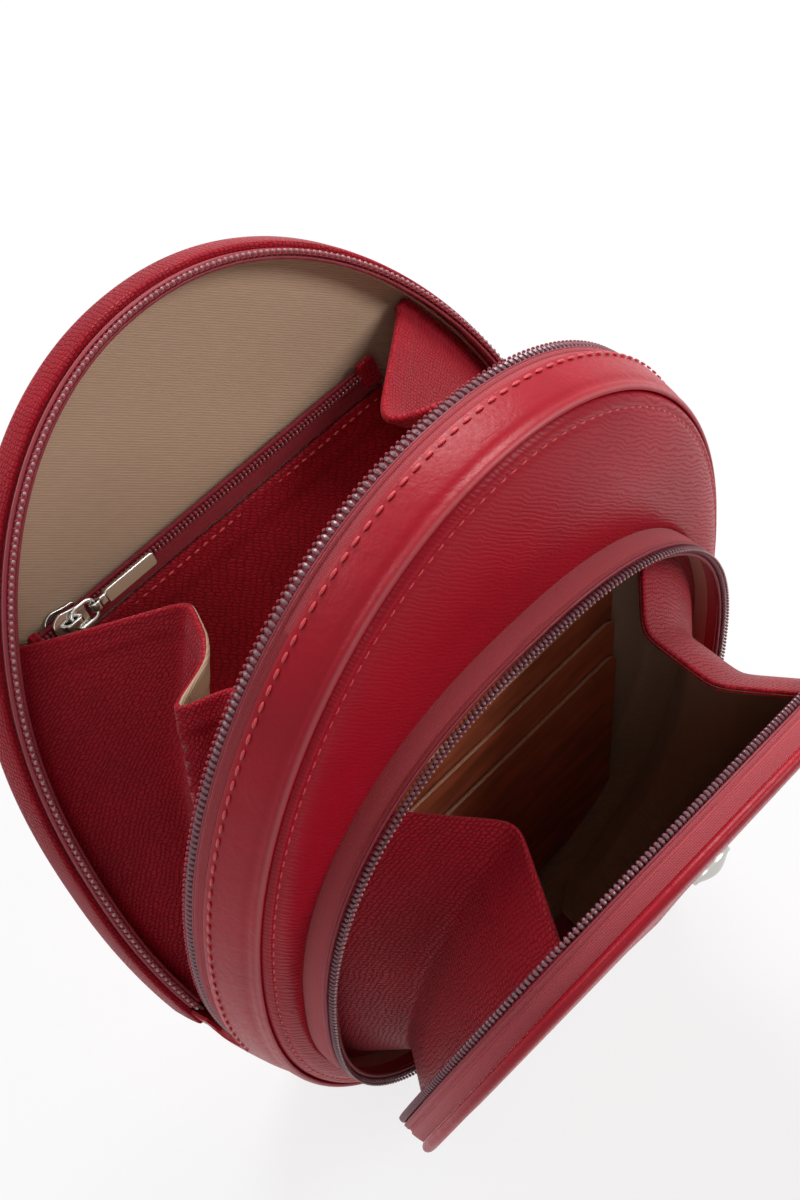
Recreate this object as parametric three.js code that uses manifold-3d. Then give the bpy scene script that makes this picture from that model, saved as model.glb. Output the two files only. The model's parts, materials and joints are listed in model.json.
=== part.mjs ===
// Oval zip-round phone pouch, open as it stands: millimetres, +Z up, front towards -Y.
// The origin is the middle of the flat base. Depths are counted from the front panel's face.
import * as THREE from 'three';
import { mergeVertices } from 'three/addons/utils/BufferGeometryUtils.js';
import Module from 'manifold-3d';

// Outline of the body, taken at the zip's coil
const BODY_WIDTH = 155;
const BODY_HEIGHT = 195;
const OUTLINE_POWER = 2.06;
const BASE_FLAT_DEPTH = 3;
const OUTLINE_STEPS = 40;

// Outline of the front pocket, taken at its coil
const POCKET_SIDE_MARGIN = 12;
const POCKET_HEIGHT = 126.5;
const POCKET_POWER = 2.37;
const POCKET_BASE_Z = 18;

// Depths: front panel's face to coil, coil to back, pocket wall and pocket recess
const BODY_DEPTH = 20.4;
const SHELL_DEPTH = 11.2;
const POCKET_WALL = 9.8;
const FLAP_WALL = 8.3;
const POCKET_RECESS = 10;

// How far the two leaves stand open, and where they bend
const SHELL_OPEN_DEG = 33.6;
const FLAP_OPEN_DEG = 18.8;
const SHELL_HINGE_Z = 51.5;
const SHELL_FLARE = 1.4;
const SHELL_BULGE = 1.6;
const BULGE_FROM = 15;
const BULGE_OVER = 80;
const FLARE_FROM = 42;
const FLARE_OVER = 50;

// Sheet goods
const LEATHER = 1.5;
const PANEL_LEATHER = 1.8;
const LINING = 0.8;
const TAPE = 0.8;
const CLEAR = 0.3;

// Zip of the body and of the pocket
const COIL_THICK = 2.2;
const COIL_WIDE = 2;
const ZIP_GAP = 1.2;
const TAPE_SHOWN = 3;
const TAPE_HIDDEN = 3;
const SHELL_ZIP_START = 9;
const FLAP_ZIP_START = 13;
const POCKET_ZIP_END = 5;
const BODY_ZIP_START = 1.5;

// Piping along the front edge and the flap's rolled edge
const PIPING = 3.4;
const FLAP_PIPING = 2.6;
const PIPING_SIDES = 8;
const COIL_SIDES = 6;

// Pocket inside the back shell
const INNER_POCKET_DROP = 49;
const INNER_POCKET_INSET = 4.5;
const INNER_POCKET_GAP = 1.5;
const INNER_ZIP_LENGTH = 106;
const INNER_ZIP_END_GAP = 5.8;
const INNER_COIL = 1.5;
const INNER_ZIP_GAP = 0.9;
const INNER_TAPE_WIDE = 4;
const INNER_TAPE = 0.5;
const INNER_SLIDER_FROM_END = 5;
const INNER_TAB_LEFT = 5;
const INNER_TAB_RIGHT = 9;

// Card pockets
const CARD_WIDE = 90;
const CARD_DROP_1 = 59.5;
const CARD_DROP_2 = 47.5;
const CARD_DROP_3 = 37.5;
const CARD_FOOT = 6;
const CARD_LEATHER = 0.8;
const CARD_BACK_DROP = 27.5;
const CARD_CORNER = 4;
const CARD_STEPS = 5;

// Gussets between the leaves
const GUSSET_LEATHER = 1.3;
const MAIN_GUSSET_DROP_LEFT = 43;
const MAIN_GUSSET_DROP_RIGHT = 38;
const MAIN_FOLD_IN = 32;
const MAIN_FOLD_IN_AT = 0.39;
const MAIN_FOLD_OUT = 1;
const MAIN_FOLD_OUT_AT = 0.66;
const MAIN_GUSSET_START = 14;
const POCKET_GUSSET_DROP_LEFT = 19.5;
const POCKET_GUSSET_DROP_RIGHT = 17.5;
const POCKET_FOLD_IN = 15;
const POCKET_FOLD_IN_AT = 0.5;
const POCKET_GUSSET_START = 18;
const BINDING_WIDE = 3.2;
const GUSSET_SEAM = 0.8;
const FOLD_ROUND = 0.06;
const GUSSET_LEVELS = 7;

// Sliders and pullers: a large size for the body and pocket, a small one inside
const LARGE_SLIDER = {
  length: 11, width: 9.2, plate: 0.9, halfGap: 1.8, backGap: 1.8, post: 0.6, postLength: 1.6, postInset: 0.6,
  bridgeLength: 5.8, bridgeWidth: 1.6, bridgeGap: 1.7, bridgeBar: 0.9, nose: 3,
};
const LARGE_PULL = {
  wire: 1, inner: 3, loop: 8.6, knuckle: 3.4, hole: 1.9, neck: 1.4, bar: 12, barWidth: 4.4, barThick: 1.3,
};
const SMALL_SLIDER = {
  length: 8.6, width: 6.8, plate: 0.7, halfGap: 1.05, backGap: 1.9, post: 0.4, postLength: 1.3, postInset: 0.5,
  bridgeLength: 4.8, bridgeWidth: 1.4, bridgeGap: 1.5, bridgeBar: 0.8, nose: 2.4,
};
const SMALL_PULL = {
  wire: 0.9, inner: 2.6, loop: 7.2, knuckle: 3, hole: 1.7, neck: 1.2, bar: 13, barWidth: 4.2, barThick: 1.2,
};
// Widths along a slider's plates, as shares of its widest place
const PLATE_TAIL = 0.7;
const PLATE_WAIST = 0.72;
const PLATE_NOSE = 0.6;
const LOOP_CORNER = 0.6;
const BAR_CORNER = 0.75;
const MAIN_SLIDER_RISE = 7;
const FRONT_SLIDER_RISE = 15;
const UNION_LAP = 0.2;
const ROUND_STEPS = 10;

// Stud on the flap
const STUD_WIDE = 11;
const STUD_TALL = 8;
const STUD_DOME = 2.6;
const STUD_Z = 118;
const STUD_X = 0;
const POST = 2.6;
const STUD_PLATE = 7;
const STUD_PLATE_THICK = 0.6;
const STUD_RINGS = 5;
const STUD_TOP_RING = 0.5;
const STUD_SIDES = 20;

// Values that follow from the sizes above
const BAND_IN = TAPE / 2 + CLEAR;
const BAND_OUT = BAND_IN + LEATHER;
const LINING_OUT = -TAPE / 2 - CLEAR;
const LINING_IN = LINING_OUT - LINING;
const BODY_CENTRE_Z = BODY_HEIGHT / 2 - BASE_FLAT_DEPTH;
const BODY_TOP = BODY_HEIGHT - BASE_FLAT_DEPTH;
const POCKET_WIDTH = BODY_WIDTH - 2 * POCKET_SIDE_MARGIN;
const POCKET_TOP = POCKET_BASE_Z + POCKET_HEIGHT;
const INNER_POCKET_TOP = BODY_TOP - INNER_POCKET_DROP;
const POCKET_CENTRE_Z = POCKET_BASE_Z + POCKET_HEIGHT / 2;
const SHELL_OPEN = THREE.MathUtils.degToRad(SHELL_OPEN_DEG);
const FLAP_OPEN = THREE.MathUtils.degToRad(FLAP_OPEN_DEG);
const BASE_MIDDLE_Y = (BODY_DEPTH + SHELL_DEPTH) / 2;
const COIL_NEAR = ZIP_GAP / 2;
const COIL_FAR = COIL_NEAR + COIL_WIDE;
const TAPE_NEAR = COIL_FAR + CLEAR;
const TAPE_FAR = TAPE_NEAR + TAPE_SHOWN + TAPE_HIDDEN;
const BAND_NEAR = TAPE_NEAR + TAPE_SHOWN;
const LINING_FLOOR = POCKET_RECESS + LINING + CLEAR;

const LEATHER_RED = 0x8e1a2c;
const TAPE_RED = 0x7c2a33;
const COIL_RED = 0x6a1f28;
const TAUPE = 0x8a7a68;
const TAN = 0x8a4a24;
const NICKEL = 0xc9c6c0;

const wasm = await Module();
wasm.setup();

const bag = new THREE.Group();
const body = new THREE.Group();
body.position.y = -BASE_MIDDLE_Y;
bag.add(body);
// The back shell and the flap turn about their bending lines
const shell = new THREE.Group();
shell.position.set(0, BODY_DEPTH, SHELL_HINGE_Z);
shell.rotation.x = -SHELL_OPEN;
const shellFrame = new THREE.Group();
shellFrame.position.set(0, -BODY_DEPTH, -SHELL_HINGE_Z);
shell.add(shellFrame);
const flap = new THREE.Group();
flap.position.set(0, -POCKET_WALL, POCKET_BASE_Z);
flap.rotation.x = FLAP_OPEN;
const flapFrame = new THREE.Group();
flapFrame.position.set(0, POCKET_WALL, -POCKET_BASE_Z);
flap.add(flapFrame);
body.add(shell, flap);

function finish(colour, roughness, metalness = 0) {
  return new THREE.MeshStandardMaterial({ color: colour, roughness, metalness });
}

function addPiece(parent, name, geometry, material) {
  geometry.computeVertexNormals();
  const mesh = new THREE.Mesh(geometry, material);
  mesh.name = name;
  parent.add(mesh);
  return mesh;
}

// Rounded outlines: u runs from the right foot (or the bottom middle) over the top to the left
function makeOutline(width, height, power, centreZ, flatAt) {
  const foot = (offset) => {
    if (flatAt === undefined) return -Math.PI / 2;
    const share = (centreZ - (flatAt - offset)) / (height / 2 + offset);
    return -Math.asin(Math.pow(Math.min(share, 1), power / 2));
  };
  const bend = (value) => Math.sign(value) * Math.pow(Math.abs(value), 2 / power);
  return {
    at(offset, u) {
      const start = foot(offset);
      const angle = start + u * (Math.PI - 2 * start);
      const x = (width / 2 + offset) * bend(Math.cos(angle));
      const z = centreZ + (height / 2 + offset) * bend(Math.sin(angle));
      return [x, z];
    },
    // The u of the right-hand point at height z
    find(offset, z) {
      const start = foot(offset);
      const share = (z - centreZ) / (height / 2 + offset);
      const angle = Math.asin(Math.sign(share) * Math.pow(Math.min(Math.abs(share), 1), power / 2));
      return (angle - start) / (Math.PI - 2 * start);
    },
  };
}

const bodyOutline = makeOutline(BODY_WIDTH, BODY_HEIGHT, OUTLINE_POWER, BODY_CENTRE_Z, BAND_OUT);
const pocketOutline = makeOutline(POCKET_WIDTH, POCKET_HEIGHT, POCKET_POWER, POCKET_CENTRE_Z);

// A closed solid through loops of points, capped at both ends or joined in a ring
function loft(loops, ring = false) {
  const count = loops[0].length;
  const points = loops.flat();
  const index = [];
  const last = ring ? loops.length : loops.length - 1;
  for (let i = 0; i < last; i += 1) {
    const next = (i + 1) % loops.length;
    for (let j = 0; j < count; j += 1) {
      const side = (j + 1) % count;
      const a = i * count + j;
      const b = i * count + side;
      const c = next * count + side;
      const d = next * count + j;
      index.push(a, b, c, a, c, d);
    }
  }
  if (!ring) {
    const end = (loops.length - 1) * count;
    for (let j = 1; j < count - 1; j += 1) {
      index.push(0, j + 1, j);
      index.push(end, end + j, end + j + 1);
    }
  }
  return closedGeometry(points, index);
}

// Faces point outwards: the order is turned round where the volume comes out negative
function closedGeometry(points, index) {
  let volume = 0;
  for (let k = 0; k < index.length; k += 3) {
    const [a, b, c] = [points[index[k]], points[index[k + 1]], points[index[k + 2]]];
    volume += a.dot(new THREE.Vector3().crossVectors(b, c));
  }
  if (volume < 0) index.reverse();
  const geometry = new THREE.BufferGeometry();
  geometry.setAttribute('position', new THREE.Float32BufferAttribute(points.flatMap((p) => p.toArray()), 3));
  geometry.setIndex(index);
  return geometry;
}

const spread = (from, to, steps) => Array.from({ length: steps + 1 }, (_, i) => from + ((to - from) * i) / steps);

// A strip swept along an outline: section holds [offset, depth] corners, path gives u for each
function sweep(outline, section, pathOf, ring = false) {
  const paths = section.map(([offset, depth]) => pathOf(offset, depth));
  const loops = paths[0].map((_, i) => section.map(([offset, depth], j) => {
    const [x, z] = outline.at(offset, paths[j][i], depth);
    return new THREE.Vector3(x, depth, z);
  }));
  return loft(loops, ring);
}

const wholeBody = () => spread(0, 1, OUTLINE_STEPS);
const wholePocket = () => spread(0, 1, OUTLINE_STEPS).slice(0, OUTLINE_STEPS);
const above = (outline, startOf) => (offset, depth) => {
  const from = outline.find(offset, startOf(depth));
  return spread(from, 1 - from, OUTLINE_STEPS);
};
const below = (outline, startOf) => (offset, depth) => {
  const from = outline.find(offset, startOf(depth));
  const side = Math.round(OUTLINE_STEPS / 4);
  return [...spread(1 - from, 1, side), ...spread(0, from, side)];
};
const box = (offset0, offset1, depth0, depth1) => [
  [offset0, depth0], [offset1, depth0], [offset1, depth1], [offset0, depth1],
];
const round = (offset, depth, wide, deep, sides) => Array.from({ length: sides }, (_, i) => {
  const angle = (2 * Math.PI * (i + 0.5)) / sides;
  return [offset + (wide / 2) * Math.cos(angle), depth + (deep / 2) * Math.sin(angle)];
});

// A flat plate in the XZ plane between two depths
function plate(points, depth0, depth1, holes = []) {
  const shape = new THREE.Shape(points.map(([x, z]) => new THREE.Vector2(x, z)));
  for (const hole of holes) shape.holes.push(new THREE.Path(hole.map(([x, z]) => new THREE.Vector2(x, z))));
  const geometry = new THREE.ExtrudeGeometry(shape, { depth: depth1 - depth0, bevelEnabled: false });
  geometry.rotateX(Math.PI / 2);
  geometry.translate(0, depth1, 0);
  return geometry;
}

const loopOf = (outline, offset, path, depth) => path.map((u) => outline.at(offset, u, depth));
const circle = (x, z, across, sides) => Array.from({ length: sides }, (_, i) => {
  const angle = (-2 * Math.PI * i) / sides;
  return [x + (across / 2) * Math.cos(angle), z + (across / 2) * Math.sin(angle)];
});

// A cup: outer floor, rim and inner floor, closed in one skin
function cup(outline, path, outOffset, wall, rimDepth, floorDepth, floorThick) {
  const loop = (offset, depth) => loopOf(outline, offset, path).map(([x, z]) => new THREE.Vector3(x, depth, z));
  return loft([
    loop(outOffset, floorDepth + floorThick),
    loop(outOffset, rimDepth),
    loop(outOffset - wall, rimDepth),
    loop(outOffset - wall, floorDepth),
  ]);
}

// A sheet with an even thickness across X, from a grid of points
function sheet(grid, thick) {
  const columns = grid.length;
  const rows = grid[0].length;
  const shifted = (side) => grid.flat().map((p) => p.clone().add(new THREE.Vector3((side * thick) / 2, 0, 0)));
  const points = [...shifted(1), ...shifted(-1)];
  const back = columns * rows;
  const at = (i, j) => i * rows + j;
  const index = [];
  for (let i = 0; i < columns - 1; i += 1) {
    for (let j = 0; j < rows - 1; j += 1) {
      const [a, b, c, d] = [at(i, j), at(i + 1, j), at(i + 1, j + 1), at(i, j + 1)];
      index.push(a, b, c, a, c, d);
      index.push(back + a, back + c, back + b, back + a, back + d, back + c);
    }
  }
  const rim = [];
  for (let i = 0; i < columns - 1; i += 1) rim.push(at(i, 0));
  for (let j = 0; j < rows - 1; j += 1) rim.push(at(columns - 1, j));
  for (let i = columns - 1; i > 0; i -= 1) rim.push(at(i, rows - 1));
  for (let j = rows - 1; j > 0; j -= 1) rim.push(at(0, j));
  rim.forEach((a, k) => {
    const b = rim[(k + 1) % rim.length];
    index.push(b, a, back + a, b, back + a, back + b);
  });
  return closedGeometry(points, index);
}

// Joins and cuts for the small metal pieces
function solidOf(geometry) {
  const bare = new THREE.BufferGeometry();
  bare.setAttribute('position', geometry.getAttribute('position').clone());
  if (geometry.index) bare.setIndex(geometry.index.clone());
  const merged = mergeVertices(bare);
  const vertProperties = new Float32Array(merged.getAttribute('position').array);
  const triVerts = new Uint32Array(merged.index.array);
  return new wasm.Manifold(new wasm.Mesh({ numProp: 3, vertProperties, triVerts }));
}

function geometryOf(solid) {
  const mesh = solid.getMesh();
  const geometry = new THREE.BufferGeometry();
  geometry.setAttribute('position', new THREE.BufferAttribute(new Float32Array(mesh.vertProperties), 3));
  geometry.setIndex(new THREE.BufferAttribute(new Uint32Array(mesh.triVerts), 1));
  return geometry;
}

const block = (x0, x1, y0, y1, z0, z1) => {
  const geometry = new THREE.BoxGeometry(x1 - x0, y1 - y0, z1 - z0);
  geometry.translate((x0 + x1) / 2, (y0 + y1) / 2, (z0 + z1) / 2);
  return geometry;
};

// Slider: X towards its nose, Z out of the tape's face, origin in the middle of the coils
function sliderGeometry(s) {
  const half = s.length / 2;
  const side = s.width / 2;
  const [tail, waist, tip] = [side * PLATE_TAIL, side * PLATE_WAIST, side * PLATE_NOSE];
  const top = s.halfGap + s.plate;
  const low = s.backGap + s.plate;
  const outline = [
    [-half, -tail], [-half + s.nose, -waist], [half - s.nose, -side], [half, -tip],
    [half, tip], [half - s.nose, side], [-half + s.nose, waist], [-half, tail],
  ];
  const shape = new THREE.Shape(outline.map(([x, y]) => new THREE.Vector2(x, y)));
  const flat = (z) => {
    const geometry = new THREE.ExtrudeGeometry(shape, { depth: s.plate, bevelEnabled: false });
    geometry.translate(0, 0, z);
    return solidOf(geometry);
  };
  const noseX = half - s.postInset;
  const post = block(noseX - s.postLength, noseX, -s.post / 2, s.post / 2, -low + UNION_LAP, top - UNION_LAP);
  const archTop = top + s.bridgeGap;
  const legs = [-1, 1].map((end) => {
    const outer = (end * s.bridgeLength) / 2;
    const inner = outer - end * s.bridgeBar;
    const [low, high] = [Math.min(outer, inner), Math.max(outer, inner)];
    return solidOf(block(low, high, -s.bridgeWidth / 2, s.bridgeWidth / 2, top - UNION_LAP, archTop + UNION_LAP));
  });
  const span = s.bridgeLength / 2;
  const arch = block(-span, span, -s.bridgeWidth / 2, s.bridgeWidth / 2, archTop, archTop + s.bridgeBar);
  let solid = flat(s.halfGap).add(flat(-low)).add(solidOf(post)).add(solidOf(arch));
  for (const leg of legs) solid = solid.add(leg);
  return geometryOf(solid);
}

// Loop of the puller: its rear bar lies on the turning axis, and it reaches towards -X
function loopGeometry(p) {
  const rear = p.wire / 2;
  const front = rear - p.loop;
  const outer = p.inner / 2 + p.wire;
  const corner = LOOP_CORNER;
  const rim = (x0, x1, y) => [
    [x0, -y + corner], [x0 + corner, -y], [x1 - corner, -y], [x1, -y + corner],
    [x1, y - corner], [x1 - corner, y], [x0 + corner, y], [x0, y - corner],
  ];
  const shape = new THREE.Shape(rim(front, rear, outer).map(([x, y]) => new THREE.Vector2(x, y)));
  const window = rim(front + p.wire, rear - p.wire, p.inner / 2).reverse();
  shape.holes.push(new THREE.Path(window.map(([x, y]) => new THREE.Vector2(x, y))));
  const geometry = new THREE.ExtrudeGeometry(shape, { depth: p.wire, bevelEnabled: false });
  geometry.translate(0, 0, -p.wire / 2);
  return geometry;
}

// Bar of the puller: a knuckle round the loop's front bar, a neck and a flat bar
function barGeometry(p) {
  const pivot = p.wire - p.loop;
  const wide = p.inner - 2 * CLEAR;
  const knuckle = new THREE.CylinderGeometry(p.knuckle / 2, p.knuckle / 2, wide, ROUND_STEPS * 2);
  knuckle.translate(pivot, 0, 0);
  const hole = new THREE.CylinderGeometry(p.hole / 2, p.hole / 2, wide + 2 * UNION_LAP, ROUND_STEPS * 2);
  hole.translate(pivot, 0, 0);
  const plateStart = pivot - p.knuckle / 2 - p.neck;
  const neck = block(plateStart - UNION_LAP, pivot - p.hole / 2, -wide / 2, wide / 2, -p.barThick / 2, p.barThick / 2);
  const half = p.barWidth / 2;
  const corner = BAR_CORNER;
  const end = plateStart - p.bar;
  const rim = [
    [end, -half + corner], [end + corner, -half], [plateStart - corner, -half], [plateStart, -half + corner],
    [plateStart, half - corner], [plateStart - corner, half], [end + corner, half], [end, half - corner],
  ];
  const shape = new THREE.Shape(rim.map(([x, y]) => new THREE.Vector2(x, y)));
  const flat = new THREE.ExtrudeGeometry(shape, { depth: p.barThick, bevelEnabled: false });
  flat.translate(0, 0, -p.barThick / 2);
  return geometryOf(solidOf(knuckle).add(solidOf(neck)).add(solidOf(flat)).subtract(solidOf(hole)));
}

// Puts a slider and its puller at a place on a tape: nose and face are directions
function addSlider(parent, name, s, p, place, nose, face, hang) {
  const across = new THREE.Vector3().crossVectors(face, nose);
  const frame = new THREE.Group();
  frame.position.copy(place);
  frame.quaternion.setFromRotationMatrix(new THREE.Matrix4().makeBasis(nose, across, face));
  addPiece(frame, `${name}_slider`, sliderGeometry(s), finish(NICKEL, 0.25, 1));
  const pull = new THREE.Group();
  pull.position.z = s.halfGap + s.plate + s.bridgeGap / 2;
  pull.rotation.y = hang;
  addPiece(pull, `${name}_puller_loop`, loopGeometry(p), finish(NICKEL, 0.25, 1));
  addPiece(pull, `${name}_puller_bar`, barGeometry(p), finish(NICKEL, 0.3, 1));
  frame.add(pull);
  parent.add(frame);
}

const leather = () => finish(LEATHER_RED, 0.45);
const tape = () => finish(TAPE_RED, 0.8);
const coil = () => finish(COIL_RED, 0.4);
const lining = () => finish(TAUPE, 0.9);

// Body: front panel with the pocket's mouth, piping, bands, linings and the body's side of the zip
const bodyPath = wholeBody();
const pocketPath = wholePocket();
const pipingOffset = BAND_OUT - PIPING / 2;
const panelEdge = pipingOffset - PIPING / 2 - CLEAR;
const mouth = loopOf(pocketOutline, TAPE / 2 + CLEAR, pocketPath).reverse();
const frontPanel = plate(loopOf(bodyOutline, panelEdge, bodyPath), 0, PANEL_LEATHER, [mouth]);
addPiece(body, 'front_panel', frontPanel, leather());

const pipingSection = round(pipingOffset, 0, PIPING, PIPING, PIPING_SIDES);
addPiece(body, 'front_piping', sweep(bodyOutline, pipingSection, wholeBody, true), leather());

const bandFront = PIPING / 2 + CLEAR;
const bodyBandBack = BODY_DEPTH - BAND_NEAR;
const hingeTop = () => SHELL_HINGE_Z + CLEAR;
const hingeFoot = () => SHELL_HINGE_Z - CLEAR;
const bandSection = box(BAND_IN, BAND_OUT, bandFront, bodyBandBack);
addPiece(body, 'zip_band_front', sweep(bodyOutline, bandSection, above(bodyOutline, hingeTop)), leather());

const backFace = BODY_DEPTH + SHELL_DEPTH;
const bottomSection = box(BAND_IN, BAND_OUT, bandFront, backFace);
addPiece(body, 'bottom_gusset', sweep(bodyOutline, bottomSection, below(bodyOutline, hingeFoot)), leather());

const liningRim = BODY_DEPTH - BAND_NEAR + CLEAR;
const bodyLining = cup(bodyOutline, bodyPath, LINING_OUT, LINING, liningRim, LINING_FLOOR + LINING, -LINING);
addPiece(body, 'body_lining', bodyLining, lining());

const backLiningFront = backFace - PANEL_LEATHER - CLEAR - LINING;
const bottomLiningSection = box(LINING_IN, LINING_OUT, liningRim + CLEAR, backLiningFront - CLEAR);
const bottomLining = sweep(bodyOutline, bottomLiningSection, below(bodyOutline, hingeFoot));
addPiece(body, 'bottom_lining', bottomLining, lining());

const zipStart = () => SHELL_HINGE_Z + BODY_ZIP_START;
const tapeSection = box(-TAPE / 2, TAPE / 2, BODY_DEPTH - TAPE_FAR, BODY_DEPTH - TAPE_NEAR);
addPiece(body, 'body_zip_tape', sweep(bodyOutline, tapeSection, above(bodyOutline, zipStart)), tape());
const coilMiddle = (COIL_NEAR + COIL_FAR) / 2;
const coilSection = round(0, BODY_DEPTH - coilMiddle, COIL_THICK, COIL_WIDE, COIL_SIDES);
addPiece(body, 'body_zip_coil', sweep(bodyOutline, coilSection, above(bodyOutline, zipStart)), coil());

// The back below the bending line stays with the body
const lowerBack = loopOf(bodyOutline, BAND_IN - CLEAR, below(bodyOutline, hingeFoot)(BAND_IN - CLEAR, backFace));
addPiece(body, 'back_panel_lower', plate(lowerBack, backFace - PANEL_LEATHER, backFace), leather());
const lowerLiningPath = below(bodyOutline, hingeFoot)(LINING_OUT, backFace);
const lowerLining = plate(loopOf(bodyOutline, LINING_OUT, lowerLiningPath), backLiningFront, backLiningFront + LINING);
addPiece(body, 'back_lining_lower', lowerLining, lining());

// Front pocket: lining cup, card pockets, zip tape wall and coil
const cupOffset = -TAPE / 2 - CLEAR;
const pocketLining = cup(pocketOutline, pocketPath, cupOffset, LINING, PANEL_LEATHER + CLEAR, POCKET_RECESS, LINING);
addPiece(body, 'pocket_lining', pocketLining, lining());

// A card panel is as wide as a card, and follows the pocket's side where that is narrower
function cardPanel(top) {
  const offset = cupOffset - LINING - CLEAR;
  const half = CARD_WIDE / 2;
  const right = spread(POCKET_BASE_Z + CARD_FOOT, top - CARD_CORNER, CARD_STEPS).map((z) => {
    const [x] = pocketOutline.at(offset, pocketOutline.find(offset, z));
    return [Math.min(half, x), z];
  });
  const [shoulder] = right[right.length - 1];
  for (const angle of spread(0, Math.PI / 2, CARD_STEPS)) {
    const x = shoulder - CARD_CORNER + CARD_CORNER * Math.cos(angle);
    right.push([x, top - CARD_CORNER + CARD_CORNER * Math.sin(angle)]);
  }
  right.splice(CARD_STEPS, 1);
  const left = right.map(([x, z]) => [-x, z]).reverse();
  return [...right, ...left];
}

const cardPitch = CARD_LEATHER + CLEAR;
const cardBackFace = POCKET_RECESS - CLEAR;
const cardFace = (layer) => cardBackFace - layer * cardPitch;
const cardBack = plate(cardPanel(POCKET_TOP - CARD_BACK_DROP), cardFace(0) - CARD_LEATHER, cardFace(0));
addPiece(body, 'card_backing', cardBack, finish(TAN, 0.55));
const cardDrops = [CARD_DROP_3, CARD_DROP_2, CARD_DROP_1];
cardDrops.forEach((drop, i) => {
  const face = cardFace(i + 1);
  const slot = plate(cardPanel(POCKET_TOP - drop), face - CARD_LEATHER, face);
  addPiece(body, `card_slot_${cardDrops.length - i}`, slot, finish(TAN, 0.55));
});

const pocketTapeSection = box(-TAPE / 2, TAPE / 2, -POCKET_WALL + TAPE_NEAR, PANEL_LEATHER);
addPiece(body, 'pocket_zip_tape', sweep(pocketOutline, pocketTapeSection, wholePocket, true), tape());
const pocketZipStart = () => POCKET_BASE_Z + POCKET_ZIP_END;
const pocketCoilSection = round(0, -POCKET_WALL + coilMiddle, COIL_THICK, COIL_WIDE, COIL_SIDES);
const pocketCoil = sweep(pocketOutline, pocketCoilSection, above(pocketOutline, pocketZipStart));
addPiece(body, 'pocket_zip_coil', pocketCoil, coil());

// The pocket's bend: a short strip of tape under the line where the flap turns
const bendEdge = () => POCKET_BASE_Z + POCKET_ZIP_END - COIL_THICK;
const bendSection = box(-TAPE / 2, TAPE / 2, -POCKET_WALL - TAPE_NEAR + CLEAR, -POCKET_WALL + TAPE_NEAR - CLEAR);
const bendPath = (offset) => {
  const from = pocketOutline.find(offset, bendEdge());
  return spread(-from, from, OUTLINE_STEPS / 4);
};
addPiece(body, 'pocket_bend', sweep(pocketOutline, bendSection, bendPath), tape());

// Back shell, drawn shut and turned open by its group
const eased = (z, from, over) => THREE.MathUtils.smoothstep(z, SHELL_HINGE_Z + from, SHELL_HINGE_Z + from + over);
const bulgeShare = (depth) => {
  const from = BODY_DEPTH + TAPE_NEAR;
  return THREE.MathUtils.clamp((depth - from) / (SHELL_DEPTH - TAPE_NEAR), 0, 1);
};
const shellOutline = {
  at(offset, u, depth) {
    const [, z] = bodyOutline.at(offset, u);
    const flare = SHELL_FLARE * eased(z, FLARE_FROM, FLARE_OVER);
    const bulge = SHELL_BULGE * eased(z, BULGE_FROM, BULGE_OVER) * bulgeShare(depth);
    return bodyOutline.at(offset + flare + bulge, u);
  },
  find: (offset, z) => bodyOutline.find(offset, z),
};
const shellStart = (depth) => SHELL_HINGE_Z + CLEAR + (depth - BODY_DEPTH) * Math.tan(SHELL_OPEN);
const shellBandSection = box(BAND_IN, BAND_OUT, BODY_DEPTH + BAND_NEAR, backFace);
addPiece(shellFrame, 'shell_band', sweep(shellOutline, shellBandSection, above(shellOutline, shellStart)), leather());
const shellZipStart = () => SHELL_HINGE_Z + SHELL_ZIP_START;
const shellTapeSection = box(-TAPE / 2, TAPE / 2, BODY_DEPTH + TAPE_NEAR, BODY_DEPTH + TAPE_FAR);
const shellTape = sweep(shellOutline, shellTapeSection, above(shellOutline, shellZipStart));
addPiece(shellFrame, 'shell_zip_tape', shellTape, tape());
const shellCoilSection = round(0, BODY_DEPTH + coilMiddle, COIL_THICK, COIL_WIDE, COIL_SIDES);
const shellCoil = sweep(shellOutline, shellCoilSection, above(shellOutline, shellZipStart));
addPiece(shellFrame, 'shell_zip_coil', shellCoil, coil());

const upperPlate = (offset, front, back) => {
  const path = above(shellOutline, shellStart)(offset, back);
  return plate(loopOf(shellOutline, offset, path, front), front, back);
};
const backPanel = upperPlate(BAND_IN - CLEAR, backFace - PANEL_LEATHER, backFace);
addPiece(shellFrame, 'back_panel', backPanel, leather());
const backLiningBack = backLiningFront + LINING;
const shellLining = upperPlate(LINING_OUT, backLiningFront, backLiningBack);
addPiece(shellFrame, 'shell_lining', shellLining, lining());
const sideLiningSection = box(LINING_IN, LINING_OUT, BODY_DEPTH + BAND_NEAR, backLiningFront - CLEAR);
const sideLining = sweep(shellOutline, sideLiningSection, above(shellOutline, shellStart));
addPiece(shellFrame, 'shell_side_lining', sideLining, lining());

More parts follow.
